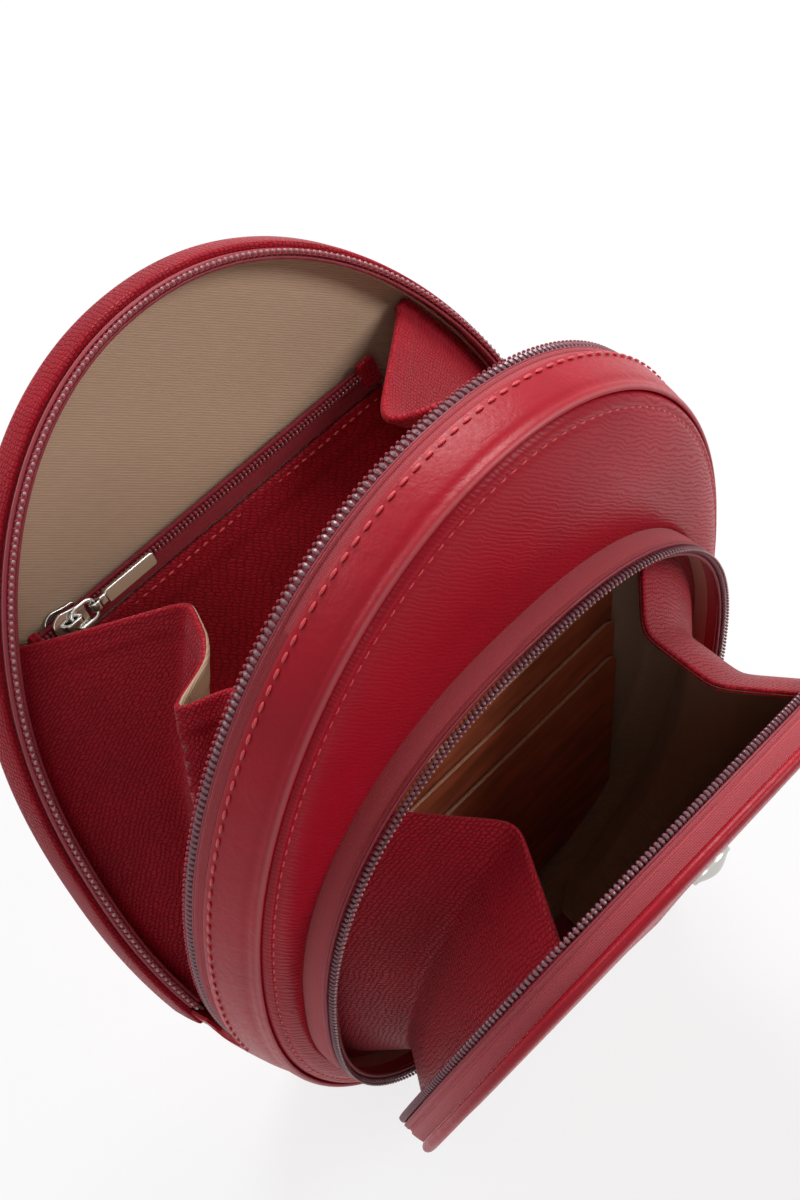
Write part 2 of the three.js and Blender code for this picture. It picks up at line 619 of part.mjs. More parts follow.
// Inner zip pocket: panel, two tapes, two coils, end tabs
const innerPanelBack = backLiningFront - INNER_POCKET_GAP;
const innerPanelFront = innerPanelBack - LEATHER;
const innerHalf = INNER_ZIP_GAP / 2;
const innerZipZ = INNER_POCKET_TOP + INNER_TAPE_WIDE + innerHalf;
const innerEdge = LINING_IN - INNER_POCKET_INSET;
const innerFrom = shellOutline.find(innerEdge, shellStart(innerPanelBack));
const innerTo = shellOutline.find(innerEdge, INNER_POCKET_TOP - CLEAR);
const sideSteps = Math.round(OUTLINE_STEPS / 3);
const innerLoop = [
  ...loopOf(shellOutline, innerEdge, spread(innerFrom, innerTo, sideSteps), innerPanelFront),
  ...loopOf(shellOutline, innerEdge, spread(1 - innerTo, 1 - innerFrom, sideSteps), innerPanelFront),
].map(([x, z]) => [x, Math.min(z, INNER_POCKET_TOP - CLEAR)]);
addPiece(shellFrame, 'inner_pocket_panel', plate(innerLoop, innerPanelFront, innerPanelBack), leather());

const [innerWall] = shellOutline.at(LINING_IN, shellOutline.find(LINING_IN, innerZipZ), innerPanelFront);
const innerLeft = INNER_ZIP_END_GAP - innerWall;
const innerRight = innerLeft + INNER_ZIP_LENGTH;
const innerTapeFront = innerPanelBack - INNER_TAPE;
const innerCoilY = innerTapeFront - CLEAR - INNER_COIL / 2;
for (const [side, name] of [[-1, 'lower'], [1, 'upper']]) {
  const inner = innerZipZ + side * innerHalf;
  const outer = inner + side * INNER_TAPE_WIDE;
  const [low, high] = [Math.min(inner, outer), Math.max(inner, outer)];
  const strip = block(innerLeft, innerRight, innerTapeFront, innerPanelBack, low, high);
  addPiece(shellFrame, `inner_zip_tape_${name}`, strip, tape());
  const length = INNER_ZIP_LENGTH - INNER_TAB_LEFT - INNER_TAB_RIGHT;
  const row = new THREE.CylinderGeometry(INNER_COIL / 2, INNER_COIL / 2, length, COIL_SIDES);
  row.rotateZ(Math.PI / 2);
  const rowX = (innerLeft + INNER_TAB_LEFT + innerRight - INNER_TAB_RIGHT) / 2;
  row.translate(rowX, innerCoilY, innerZipZ + side * (innerHalf + INNER_COIL / 2));
  addPiece(shellFrame, `inner_zip_coil_${name}`, row, coil());
}
const innerTabs = [
  ['left', innerLeft, innerLeft + INNER_TAB_LEFT - CLEAR],
  ['right', innerRight - INNER_TAB_RIGHT + CLEAR, innerRight],
];
for (const [name, low, high] of innerTabs) {
  const reach = innerHalf + INNER_TAPE_WIDE;
  const tabBack = innerTapeFront - CLEAR;
  const tab = block(low, high, tabBack - LEATHER, tabBack, innerZipZ - reach, innerZipZ + reach);
  addPiece(shellFrame, `inner_zip_tab_${name}`, tab, leather());
}
const innerSliderX = innerLeft + INNER_TAB_LEFT + INNER_SLIDER_FROM_END;
const innerPlace = new THREE.Vector3(innerSliderX, innerCoilY, innerZipZ);
const toLeft = new THREE.Vector3(-1, 0, 0);
const toFront = new THREE.Vector3(0, -1, 0);
addSlider(shellFrame, 'inner', SMALL_SLIDER, SMALL_PULL, innerPlace, toLeft, toFront, 0);

// Flap, drawn shut and turned open by its group
const flapY = -POCKET_WALL;
const flapFace = flapY - FLAP_WALL;
const flapTapeSection = box(-TAPE / 2, TAPE / 2, flapFace + CLEAR, flapY - TAPE_NEAR);
addPiece(flapFrame, 'flap_zip_tape', sweep(pocketOutline, flapTapeSection, wholePocket, true), tape());
const flapZipStart = () => POCKET_BASE_Z + FLAP_ZIP_START;
const flapCoilSection = round(0, flapY - coilMiddle, COIL_THICK, COIL_WIDE, COIL_SIDES);
const flapCoil = sweep(pocketOutline, flapCoilSection, above(pocketOutline, flapZipStart));
addPiece(flapFrame, 'flap_zip_coil', flapCoil, coil());
const flapPipingOffset = TAPE / 2;
const flapPipingY = flapFace - FLAP_PIPING / 2;
const flapPipingSection = round(flapPipingOffset, flapPipingY, FLAP_PIPING, FLAP_PIPING, PIPING_SIDES);
const flapPiping = sweep(pocketOutline, flapPipingSection, wholePocket, true);
addPiece(flapFrame, 'flap_piping', flapPiping, leather());
const flapPanelEdge = flapPipingOffset - FLAP_PIPING / 2 - CLEAR;
const studSide = ROUND_STEPS;
const studHole = circle(STUD_X, STUD_Z, POST + 2 * CLEAR, studSide);
const flapPanelBack = flapFace;
const flapPanelFront = flapFace - PANEL_LEATHER;
const flapLoop = loopOf(pocketOutline, flapPanelEdge, pocketPath);
addPiece(flapFrame, 'flap_panel', plate(flapLoop, flapPanelFront, flapPanelBack, [studHole]), leather());
const flapLiningEdge = -TAPE / 2 - CLEAR;
const studPlateBack = flapPanelBack + CLEAR + STUD_PLATE_THICK;
const flapLiningFront = studPlateBack + CLEAR;
const flapLiningLoop = loopOf(pocketOutline, flapLiningEdge, pocketPath);
const flapLining = plate(flapLiningLoop, flapLiningFront, flapLiningFront + LINING);
addPiece(flapFrame, 'flap_lining', flapLining, lining());

// Stud: a domed oval cap with its post, and a plate behind the leather
function studCap() {
  const rings = [];
  for (let i = 0; i <= STUD_RINGS; i += 1) {
    const turn = (i / (STUD_RINGS + STUD_TOP_RING)) * (Math.PI / 2);
    rings.push(Array.from({ length: STUD_SIDES }, (_, k) => {
      const angle = (2 * Math.PI * k) / STUD_SIDES;
      const x = STUD_X + (STUD_WIDE / 2) * Math.cos(turn) * Math.cos(angle);
      const z = STUD_Z + (STUD_TALL / 2) * Math.cos(turn) * Math.sin(angle);
      return new THREE.Vector3(x, flapPanelFront - CLEAR - STUD_DOME * Math.sin(turn), z);
    }));
  }
  const cap = solidOf(loft(rings));
  const rod = plate(circle(STUD_X, STUD_Z, POST, studSide), flapPanelFront - STUD_DOME / 2, flapPanelBack);
  return geometryOf(cap.add(solidOf(rod)));
}
addPiece(flapFrame, 'stud_cap', studCap(), finish(NICKEL, 0.2, 1));
const studBack = plate(circle(STUD_X, STUD_Z, STUD_PLATE, STUD_SIDES), flapPanelBack + CLEAR, studPlateBack);
addPiece(flapFrame, 'stud_back_plate', studBack, finish(NICKEL, 0.4, 1));

// Places on the open leaves, in the body's frame
function turned(point, y, z, angle) {
  const dy = point.y - y;
  const dz = point.z - z;
  const [c, s] = [Math.cos(angle), Math.sin(angle)];
  return new THREE.Vector3(point.x, y + dy * c - dz * s, z + dy * s + dz * c);
}

// Gussets: folded sheets from one leaf to the other, tapering to the zip's ends
function roundedFolds(stops) {
  const marks = [];
  stops.forEach(([at, fold], i) => {
    const inner = i > 0 && i < stops.length - 1;
    if (!inner) {
      marks.push([at, fold]);
      return;
    }
    const [beforeAt, beforeFold] = stops[i - 1];
    const [afterAt, afterFold] = stops[i + 1];
    const back = FOLD_ROUND / (at - beforeAt);
    const on = FOLD_ROUND / (afterAt - at);
    const start = [at - FOLD_ROUND, fold + (beforeFold - fold) * back];
    const end = [at + FOLD_ROUND, fold + (afterFold - fold) * on];
    marks.push(start, [at, (start[1] + 2 * fold + end[1]) / 4], end);
  });
  return marks;
}

// Each edge is seated on its leaf, and the sheet between them runs clear of the slider
function gusset(side, stops, low, high, base, edges, levels) {
  const heights = spread(low, high, levels);
  const seated = (edge) => heights.map((z) => edge(z));
  const run = roundedFolds(stops).map(([at, fold]) => heights.map((z) => {
    const grown = (z - base) / (high - base);
    const point = new THREE.Vector3().lerpVectors(edges.fromRun(z), edges.toRun(z), at);
    point.x -= fold * grown;
    return point;
  }));
  const grid = [seated(edges.fromSeat), ...run, seated(edges.toSeat)];
  grid.flat().forEach((point) => point.setX(point.x * side));
  return grid;
}

const mainStops = [[0, 0], [MAIN_FOLD_IN_AT, MAIN_FOLD_IN], [MAIN_FOLD_OUT_AT, MAIN_FOLD_OUT], [1, 0]];
const gussetOffset = -(LARGE_SLIDER.backGap + LARGE_SLIDER.plate + 2 * CLEAR + GUSSET_LEATHER / 2);
const sidePoint = (outline, offset, depth, z) => {
  const [x, height] = outline.at(offset, outline.find(offset, z), depth);
  return new THREE.Vector3(x, depth, height);
};
const onShell = (offset, depth) => (z) => {
  const point = sidePoint(shellOutline, offset, BODY_DEPTH + depth, z);
  return turned(point, BODY_DEPTH, SHELL_HINGE_Z, -SHELL_OPEN);
};
const onFlap = (offset, depth) => (z) => {
  const point = sidePoint(pocketOutline, offset, flapY - depth, z);
  return turned(point, flapY, POCKET_BASE_Z, FLAP_OPEN);
};
const seatDepth = BAND_NEAR + GUSSET_SEAM / 2;
const runDepth = LARGE_SLIDER.width / 2 + 2 * CLEAR;
const mainSeat = LINING_IN - CLEAR - GUSSET_LEATHER / 2;
const pocketSeat = -TAPE / 2 - CLEAR - GUSSET_LEATHER / 2;
const mainEdges = {
  fromSeat: onShell(mainSeat, seatDepth),
  fromRun: onShell(gussetOffset, runDepth),
  toRun: (z) => sidePoint(bodyOutline, gussetOffset, BODY_DEPTH - runDepth, z),
  toSeat: (z) => sidePoint(bodyOutline, mainSeat, BODY_DEPTH - seatDepth, z),
};
const pocketEdges = {
  fromSeat: (z) => sidePoint(pocketOutline, pocketSeat, -POCKET_WALL + runDepth + GUSSET_SEAM, z),
  fromRun: (z) => sidePoint(pocketOutline, gussetOffset, -POCKET_WALL + runDepth, z),
  toRun: onFlap(gussetOffset, runDepth),
  toSeat: onFlap(pocketSeat, runDepth + GUSSET_SEAM),
};
const pocketStops = [[0, 0], [POCKET_FOLD_IN_AT, POCKET_FOLD_IN], [1, 0]];
const pocketFoldBase = POCKET_BASE_Z + POCKET_ZIP_END;
const gussetSides = [
  [-1, 'left', BODY_TOP - MAIN_GUSSET_DROP_LEFT, POCKET_TOP - POCKET_GUSSET_DROP_LEFT],
  [1, 'right', BODY_TOP - MAIN_GUSSET_DROP_RIGHT, POCKET_TOP - POCKET_GUSSET_DROP_RIGHT],
];
for (const [side, name, mainTop, pocketTop] of gussetSides) {
  const mainLow = SHELL_HINGE_Z + MAIN_GUSSET_START;
  const mainGrid = gusset(side, mainStops, mainLow, mainTop, SHELL_HINGE_Z, mainEdges, GUSSET_LEVELS);
  addPiece(body, `main_gusset_${name}`, sheet(mainGrid, GUSSET_LEATHER), leather());
  const pocketLow = POCKET_BASE_Z + POCKET_GUSSET_START;
  const pocketGrid = gusset(side, pocketStops, pocketLow, pocketTop, pocketFoldBase, pocketEdges, GUSSET_LEVELS);
  addPiece(body, `pocket_gusset_${name}`, sheet(pocketGrid, GUSSET_LEATHER), lining());
  const bindingLow = pocketTop + CLEAR;
  const bindingTop = bindingLow + BINDING_WIDE;
  const bindingGrid = gusset(side, pocketStops, bindingLow, bindingTop, pocketFoldBase, pocketEdges, 1);
  addPiece(body, `pocket_binding_${name}`, sheet(bindingGrid, GUSSET_LEATHER), leather());
}

// Sliders of the body's zip and of the pocket's, at the right-hand ends
function addEdgeSlider(name, outline, depth, z) {
  const u = outline.find(0, z);
  const step = 0.001;
  const [x, height] = outline.at(0, u);
  const [nextX, nextZ] = outline.at(0, u + step);
  const nose = new THREE.Vector3(nextX - x, 0, nextZ - height).normalize();
  const face = new THREE.Vector3(nose.z, 0, -nose.x);
  const hang = Math.atan2(nose.x, nose.z);
  addSlider(body, name, LARGE_SLIDER, LARGE_PULL, new THREE.Vector3(x, depth, height), nose, face, hang);
}
addEdgeSlider('main', bodyOutline, BODY_DEPTH, SHELL_HINGE_Z + MAIN_SLIDER_RISE);
addEdgeSlider('front', pocketOutline, -POCKET_WALL, POCKET_BASE_Z + FRONT_SLIDER_RISE);

export default bag;
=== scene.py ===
"""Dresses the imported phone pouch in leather, zips, linings and metal, on a plain studio stage."""

import json
import math

import bmesh
import bpy
import numpy as np
from bpy.props import FloatProperty, FloatVectorProperty, PointerProperty
from mathutils import Matrix, Vector


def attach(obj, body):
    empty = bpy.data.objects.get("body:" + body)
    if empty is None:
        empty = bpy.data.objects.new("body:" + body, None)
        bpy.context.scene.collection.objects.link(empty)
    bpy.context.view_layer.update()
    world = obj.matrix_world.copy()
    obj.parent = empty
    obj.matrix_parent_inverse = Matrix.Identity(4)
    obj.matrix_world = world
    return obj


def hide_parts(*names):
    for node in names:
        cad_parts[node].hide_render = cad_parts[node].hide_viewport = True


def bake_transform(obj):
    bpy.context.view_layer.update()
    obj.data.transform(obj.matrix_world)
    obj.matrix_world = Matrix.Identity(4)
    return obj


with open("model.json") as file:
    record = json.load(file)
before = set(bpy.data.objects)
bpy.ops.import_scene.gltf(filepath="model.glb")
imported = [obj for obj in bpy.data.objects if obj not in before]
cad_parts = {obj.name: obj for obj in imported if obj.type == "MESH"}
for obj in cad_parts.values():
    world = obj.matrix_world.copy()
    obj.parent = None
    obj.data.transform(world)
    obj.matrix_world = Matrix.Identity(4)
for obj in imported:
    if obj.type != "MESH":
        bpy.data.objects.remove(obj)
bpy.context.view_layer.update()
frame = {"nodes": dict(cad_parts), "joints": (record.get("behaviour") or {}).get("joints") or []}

bl_info = {
    "name": "Phone pouch",
    "version": (1, 0, 0),
    "blender": (4, 5, 0),
    "location": "3D View > Sidebar > Pouch",
    "description": "Builds the looks of an oval zip-round leather phone pouch on its packed frame",
    "category": "Object",
}

MM = 0.001
SHARP_EDGE = math.radians(45)

# Thicknesses and small places that the pieces share, in metres
TAPE = 0.8 * MM
BAND_IN = 0.7 * MM
BAND_OUT = 2.2 * MM
LINING_OUT = -0.75 * MM
LINING = 0.7 * MM
COIL_MIDDLE = 1.6 * MM
TAPE_NEAR = 2.9 * MM
TAPE_FAR = 8.9 * MM
BAND_NEAR = 5.9 * MM
GROOVE = 0.7 * MM
RIM_DEPTH = 3.1 * MM
BAND_EDGE = 6.3 * MM
SHELL_EDGE = 4.2 * MM
LINING_BACK = 2.9 * MM
PANEL = 1.5 * MM
BODY_CENTRE = 94.5 * MM
FRONT_STITCHES = 3.6 * MM
FULL_FRONT = 13 * MM
CORD = 0.45 * MM


def in_mm(**lengths):
    """Named lengths in metres, given in millimetres."""
    return {name: value * MM for name, value in lengths.items()}


# Large sliders on the body's and the pocket's zips, a small one inside
LARGE_SLIDER = in_mm(
    length=11, width=9.2, plate=0.9, half_gap=1.8, back_gap=1.8, bridge=5.8, bridge_wide=1.6, bridge_gap=1.7,
    bridge_bar=0.9, nose=3,
)
LARGE_PULL = in_mm(wire=1, inner=3, loop=8.6, knuckle=3.4, hole=1.9, neck=1.4, bar=12, bar_wide=4.4, bar_thick=1.3)
SMALL_SLIDER = in_mm(
    length=8.6, width=6.8, plate=0.7, half_gap=1.05, back_gap=1.9, bridge=4.8, bridge_wide=1.4, bridge_gap=1.5,
    bridge_bar=0.8, nose=2.4,
)
SMALL_PULL = in_mm(wire=0.9, inner=2.6, loop=7.2, knuckle=3, hole=1.7, neck=1.2, bar=14.4, bar_wide=3, bar_thick=1.5)
JOINTS = {joint["name"]: joint for joint in frame["joints"]}


def linear(code):
    """An sRGB hex colour as linear red, green and blue."""
    parts = [((code >> shift) & 255) / 255 for shift in (16, 8, 0)]
    return tuple(c / 12.92 if c <= 0.04045 else ((c + 0.055) / 1.055) ** 2.4 for c in parts)


def size_prop(label, note, millimetres):
    """A length that a user may change, given in millimetres."""
    return FloatProperty(name=label, description=note, default=millimetres * MM, unit="LENGTH", precision=5)


def angle_prop(label, note, degrees):
    """An angle that a user may change, given in degrees."""
    return FloatProperty(name=label, description=note, default=math.radians(degrees), subtype="ANGLE")


def colour_prop(label, note, code):
    """A colour that a user may change, given as sRGB hex."""
    return FloatVectorProperty(
        name=label, description=note, default=linear(code), size=3, min=0, max=1, subtype="COLOR"
    )


class PouchSizes(bpy.types.PropertyGroup):
    """Driving sizes of the pouch"""

    body_width: size_prop("Body width", "Width of the body at the zip's coil", 155)
    body_height: size_prop("Body height", "Height of the whole oval at the zip's coil", 195)
    body_power: FloatProperty(name="Body fullness", description="2 is an ellipse, more is fuller", default=2.06)
    base_flat: size_prop("Base flat", "How much the flat base takes off the oval", 3)
    pocket_width: size_prop("Pocket width", "Width of the front pocket at its coil", 131)
    pocket_height: size_prop("Pocket height", "Height of the front pocket at its coil", 126.5)
    pocket_power: FloatProperty(name="Pocket fullness", description="2 is an ellipse, more is fuller", default=2.37)
    pocket_base: size_prop("Pocket foot", "Height of the front pocket's foot", 18)
    body_depth: size_prop("Body depth", "Front panel's face to the main zip", 20.4)
    shell_depth: size_prop("Shell depth", "Main zip to the back", 11.2)
    pocket_wall: size_prop("Pocket wall", "Front panel's face to the pocket's zip", 9.8)
    flap_wall: size_prop("Flap wall", "Pocket's zip to the flap's leather", 8.3)
    pocket_recess: size_prop("Pocket recess", "Front panel's face to the pocket's floor", 10)
    fold_height: size_prop("Shell fold", "Height of the line where the back shell bends", 51.5)
    shell_open: angle_prop("Shell open", "How far the back shell stands open", 33.6)
    flap_open: angle_prop("Flap open", "How far the front flap stands open", 18.8)
    coil_pitch: size_prop("Coil pitch", "Step of the body's and the pocket's zip coils", 1.56)
    inner_pitch: size_prop("Inner coil pitch", "Step of the inner zip's coils", 1.15)
    stitch_pitch: size_prop("Stitch pitch", "Step of the stitches along the bands", 3.6)
    inner_top: size_prop("Inner pocket top", "Height of the inner pocket's edge up the shell", 143)


class PouchColours(bpy.types.PropertyGroup):
    """Colours of the pouch"""

    leather: colour_prop("Leather", "Dyed calf of the outside", 0xB01026)
    # Painted shade and tone: this darker red is painted into the creases of the grain as their shade, and mixed at
    # random into the smooth bands as uneven tone.
    dark_tone_and_crease_shade: colour_prop("Leather creases", "Creases of the grain", 0x780516)
    # Painted highlight: a pale pink painted along the body band's rolled edge, in place of the sheen that edge
    # catches.
    ridge_highlight: colour_prop("Rubbed leather", "Leather stretched over an edge", 0xE08A8C)
    tape: colour_prop("Zip tape", "Woven tape beside the coils", 0xC4525A)
    coil: colour_prop("Zip coil", "Nylon coil", 0x7E4E58)
    # Painted highlight: the pale beads in this colour on the coils paint the glints their nylon turns catch.
    glint: colour_prop("Coil heads", "Polished heads of the coil", 0xA8787A)
    wrap: colour_prop("Coil thread", "Thread that sews the coil down", 0x902C38)
    lining: colour_prop("Lining", "Ribbed lining cloth", 0xC4A48A)
    card: colour_prop("Card leather", "Card slots", 0xBC6040)
    card_edge: colour_prop("Card edge", "Cut edges of the card slots", 0xB98A70)
    thread: colour_prop("Thread", "Sewing thread", 0xD8484E)
    nickel: colour_prop("Nickel", "Plated metal", 0xC6C3BE)
    floor: colour_prop("Floor", "Studio floor", 0xF7F7F9)


def sizes():
    """The driving sizes in the scene."""
    return bpy.context.scene.pouch_sizes


def colour(name):
    """One of the scene's colours, with full alpha."""
    return (*getattr(bpy.context.scene.pouch_colours, name), 1)


def ease(value, low, high):
    """Smooth step from 0 at low to 1 at high."""
    t = np.clip((np.asarray(value, float) - low) / (high - low), 0, 1)
    return t * t * (3 - 2 * t)


def spots(pairs, depth=0.0, way=1):
    """Points of a profile from pairs of millimetres: out, and back from a depth, or forwards where way is -1."""
    return [(out * MM, depth + way * step * MM) for out, step in pairs]


class Pouch:
    """Places on the pouch: r is out from the coil's line, depth is back from the front panel's face.
    u runs once round an oval from its bottom middle, up the right side and down the left."""

    def __init__(self):
        s = sizes()
        self.middle = (s.body_depth + s.shell_depth) / 2
        self.fold = s.body_depth
        self.back = s.body_depth + s.shell_depth
        self.flap_coil = -s.pocket_wall
        self.flap_face = -s.pocket_wall - s.flap_wall
        self.body_oval = (s.body_width, s.body_height, s.body_power, s.body_height / 2 - s.base_flat)
        centre = s.pocket_base + s.pocket_height / 2
        self.pocket_oval = (s.pocket_width, s.pocket_height, s.pocket_power, centre)
        self.body_top = s.body_height - s.base_flat
        self.pocket_top = s.pocket_base + s.pocket_height
        self.sizes = s

    @staticmethod
    def on_oval(oval, r, u):
        """x and z of a point on an oval, r outside it."""
        width, height, power, centre = oval
        angle = 2 * np.pi * np.asarray(u, float) - np.pi / 2
        c, s = np.cos(angle), np.sin(angle)
        x = (width / 2 + r) * np.sign(c) * np.abs(c) ** (2 / power)
        z = centre + (height / 2 + r) * np.sign(s) * np.abs(s) ** (2 / power)
        return x, z

    @staticmethod
    def right_at(oval, r, z):
        """The u of an oval's right-hand point at height z."""
        _, height, power, centre = oval
        share = np.clip((np.asarray(z, float) - centre) / (height / 2 + r), -1, 1)
        angle = np.arcsin(np.sign(share) * np.abs(share) ** (power / 2))
        return (angle + np.pi / 2) / (2 * np.pi)

    def half_width(self, oval, r, z):
        """x of an oval's right-hand point at height z, r outside it."""
        return self.on_oval(oval, r, self.right_at(oval, r, z))[0]

    def above(self, oval, r, z, steps):
        """Values of u from height z on the right over the top to height z on the left."""
        start = float(self.right_at(oval, r, z))
        return np.linspace(start, 1 - start, steps)

    def body_xz(self, r, u):
        """The body's oval with its softly flattened base."""
        x, z = self.on_oval(self.body_oval, r, u)
        floor = BAND_OUT - r
        soft = 0.9 * MM
        return x, floor + soft * np.logaddexp(0, (z - floor) / soft)

    def body(self, r, depth, u):
        """A point on the standing body, which draws in like a barrel towards its front."""
        x, z = self.body_xz(r, u)
        lean = np.clip(1 - np.asarray(depth) / (20 * MM), 0, None) ** 1.2
        return self.world(x * (1 - 0.06 * lean), depth, z * (1 - 0.005 * lean))

    def front_face(self, u, edge):
        """Places on the front leather a distance in from its rim: crowned, rolled under at the rim,
        with a sunk line for its stitches and a tuck at the pocket's wall."""
        wall = np.stack(self.on_oval(self.pocket_oval, 0.5 * MM, u), -1)
        rim = self.body(GROOVE, RIM_DEPTH, u)[:, [0, 2]]
        span = np.linalg.norm(rim - wall, axis=1)
        share = 1 - edge / span
        spot = wall + (rim - wall) * share[:, None]
        roll = np.sqrt(1 - (1 - np.clip(edge / (1.9 * MM), 0, 1)) ** 2)
        crown = np.minimum(2.2 * MM, 0.05 * span) * np.sin(np.pi * share)
        line = FRONT_STITCHES * np.minimum(1, span / FULL_FRONT)
        dip = 0.38 * MM * np.exp(-(((edge - line) / (0.9 * MM)) ** 2))
        tuck = 0.7 * MM * np.exp(-share * span / (1.1 * MM))
        depth = (2.4 * share - 1.2) * MM + 2.6 * MM * (1 - roll) - crown + dip + tuck
        return self.world(spot[:, 0], depth, spot[:, 1]), span

    def world(self, x, depth, z):
        """A point of the standing body from its depth."""
        x, depth, z = np.broadcast_arrays(x, depth, z)
        return np.stack([x, depth - self.middle, z], -1)

    def turned(self, point, line_depth, line_z, angle):
        """A point turned back by an angle about a line across the pouch."""
        x, depth, z = np.broadcast_arrays(*point)
        c, n = math.cos(angle), math.sin(angle)
        dy, dz = depth - line_depth, z - line_z
        return self.world(x, line_depth + dy * c + dz * n, line_z - dy * n + dz * c)

    def shell_turn(self, x, depth, z):
        """A point of the back shell, drawn shut and turned open."""
        return self.turned((x, depth, z), self.fold, self.sizes.fold_height, self.sizes.shell_open)

    def flap_turn(self, x, depth, z):
        """A point of the front flap, drawn shut and turned open."""
        return self.turned((x, depth, z), self.flap_coil, self.sizes.pocket_base, -self.sizes.flap_open)

    def shell_xz(self, r, depth, u):
        """The shell's oval, which flares upwards and swells towards the back."""
        hinge = self.sizes.fold_height
        _, z = self.on_oval(self.body_oval, r, u)
        flare = 1.4 * MM * ease(z, hinge + 42 * MM, hinge + 92 * MM)
        swell = np.clip((np.asarray(depth) - self.fold - TAPE_NEAR) / (self.sizes.shell_depth - TAPE_NEAR), 0, 1)
        bulge = 1.6 * MM * ease(z, hinge + 15 * MM, hinge + 95 * MM) * swell
        return self.on_oval(self.body_oval, r + flare + bulge, u)

    def shell(self, r, depth, u):
        """A point on the back shell's side."""
        x, z = self.shell_xz(r, depth, u)
        return self.shell_turn(x, depth, z)

    def shell_ahead(self):
        """The direction that the open shell's inside faces."""
        return self.shell_turn(0.0, -1.0, 0.0) - self.shell_turn(0.0, 0.0, 0.0)

    def shell_start(self, depth):
        """Lowest height of the shell at a depth, drawn shut: it clears the body's lower part when open."""
        s = self.sizes
        return s.fold_height + 0.3 * MM + (depth - self.fold) * math.tan(s.shell_open)

    def pocket(self, r, depth, u):
        """A point on the pocket's wall."""
        x, z = self.on_oval(self.pocket_oval, r, u)
        return self.world(x, depth, z)

    def flap(self, r, depth, u):
        """A point on the flap's wall."""
        x, z = self.on_oval(self.pocket_oval, r, u)
        return self.flap_turn(x, depth, z)


def link(name, mesh):
    """A new object for a mesh, in the scene."""
    piece = bpy.data.objects.new(name, mesh)
    bpy.context.scene.collection.objects.link(piece)
    return piece


def mesh_piece(name, points, faces, materials, uvs=None, which=None, closed=True):
    """A smooth-shaded piece from points and faces, its faces turned outwards."""
    mesh = bpy.data.meshes.new(name)
    mesh.from_pydata([tuple(p) for p in np.asarray(points, float)], [], [list(map(int, f)) for f in faces])
    if uvs is not None:
        layer = mesh.uv_layers.new(name="UVMap")
        layer.data.foreach_set("uv", np.asarray(uvs, np.float32).ravel())
    for material in materials:
        mesh.materials.append(material)
    if which is not None:
        mesh.polygons.foreach_set("material_index", np.asarray(which, np.int32))
    if closed:
        form = bmesh.new()
        form.from_mesh(mesh)
        bmesh.ops.recalc_face_normals(form, faces=form.faces)
        form.to_mesh(mesh)
        form.free()
    mesh.polygons.foreach_set("use_smooth", [True] * len(mesh.polygons))
    mesh.set_sharp_from_angle(angle=SHARP_EDGE)
    mesh.update()
    return link(name, mesh)


def running(points):
    """Length along a row of points, from 0."""
    steps = np.linalg.norm(np.diff(points, axis=0), axis=1)
    return np.concatenate([[0], np.cumsum(steps)])


def ring_faces(count, low, high):
    """Faces between two rings of as many points, the first starting at point low, the other at point high."""
    return [(low + j, low + (j + 1) % count, high + (j + 1) % count, high + j) for j in range(count)]


def grid_piece(name, grid, materials, ring=False, rub=None):
    """A tube from rows of points round it: ring joins the last row to the first, or else both ends get caps.
    Its UV map runs along the rows and across them, in metres.
    Its last argument, one value a column, is how much of a pale painted highlight its leather takes."""
    grid = np.asarray(grid, float)
    rows, count = grid.shape[:2]
    along = running(np.concatenate([grid[:, 0], grid[:1, 0]]) if ring else grid[:, 0])
    middle = grid[rows // 2]
    across = running(np.concatenate([middle, middle[:1]]))
    faces, uvs = [], []
    for i in range(rows if ring else rows - 1):
        faces += ring_faces(count, i * count, (i + 1) % rows * count)
        for j in range(count):
            uvs += [(along[a], across[b]) for a, b in ((i, j), (i, j + 1), (i + 1, j + 1), (i + 1, j))]
    if not ring:
        for row in (0, rows - 1):
            faces.append(tuple(row * count + j for j in range(count)))
            uvs += [(along[row], across[j]) for j in range(count)]
    piece = mesh_piece(name, grid.reshape(-1, 3), faces, materials, uvs)
    if rub is not None:
        painted_highlight = piece.data.attributes.new("rub", "FLOAT", "POINT")
        painted_highlight.data.foreach_set("value", np.tile(np.asarray(rub, np.float32), rows))
    return piece


def swept(place, profile, paths, name, materials, ring=False):
    """A closed profile of (r, depth) points carried along an oval: paths gives each point its values of u."""
    columns = [place(r, depth, paths(r, depth)) for r, depth in profile]
    return grid_piece(name, np.stack(columns, 1), materials, ring)


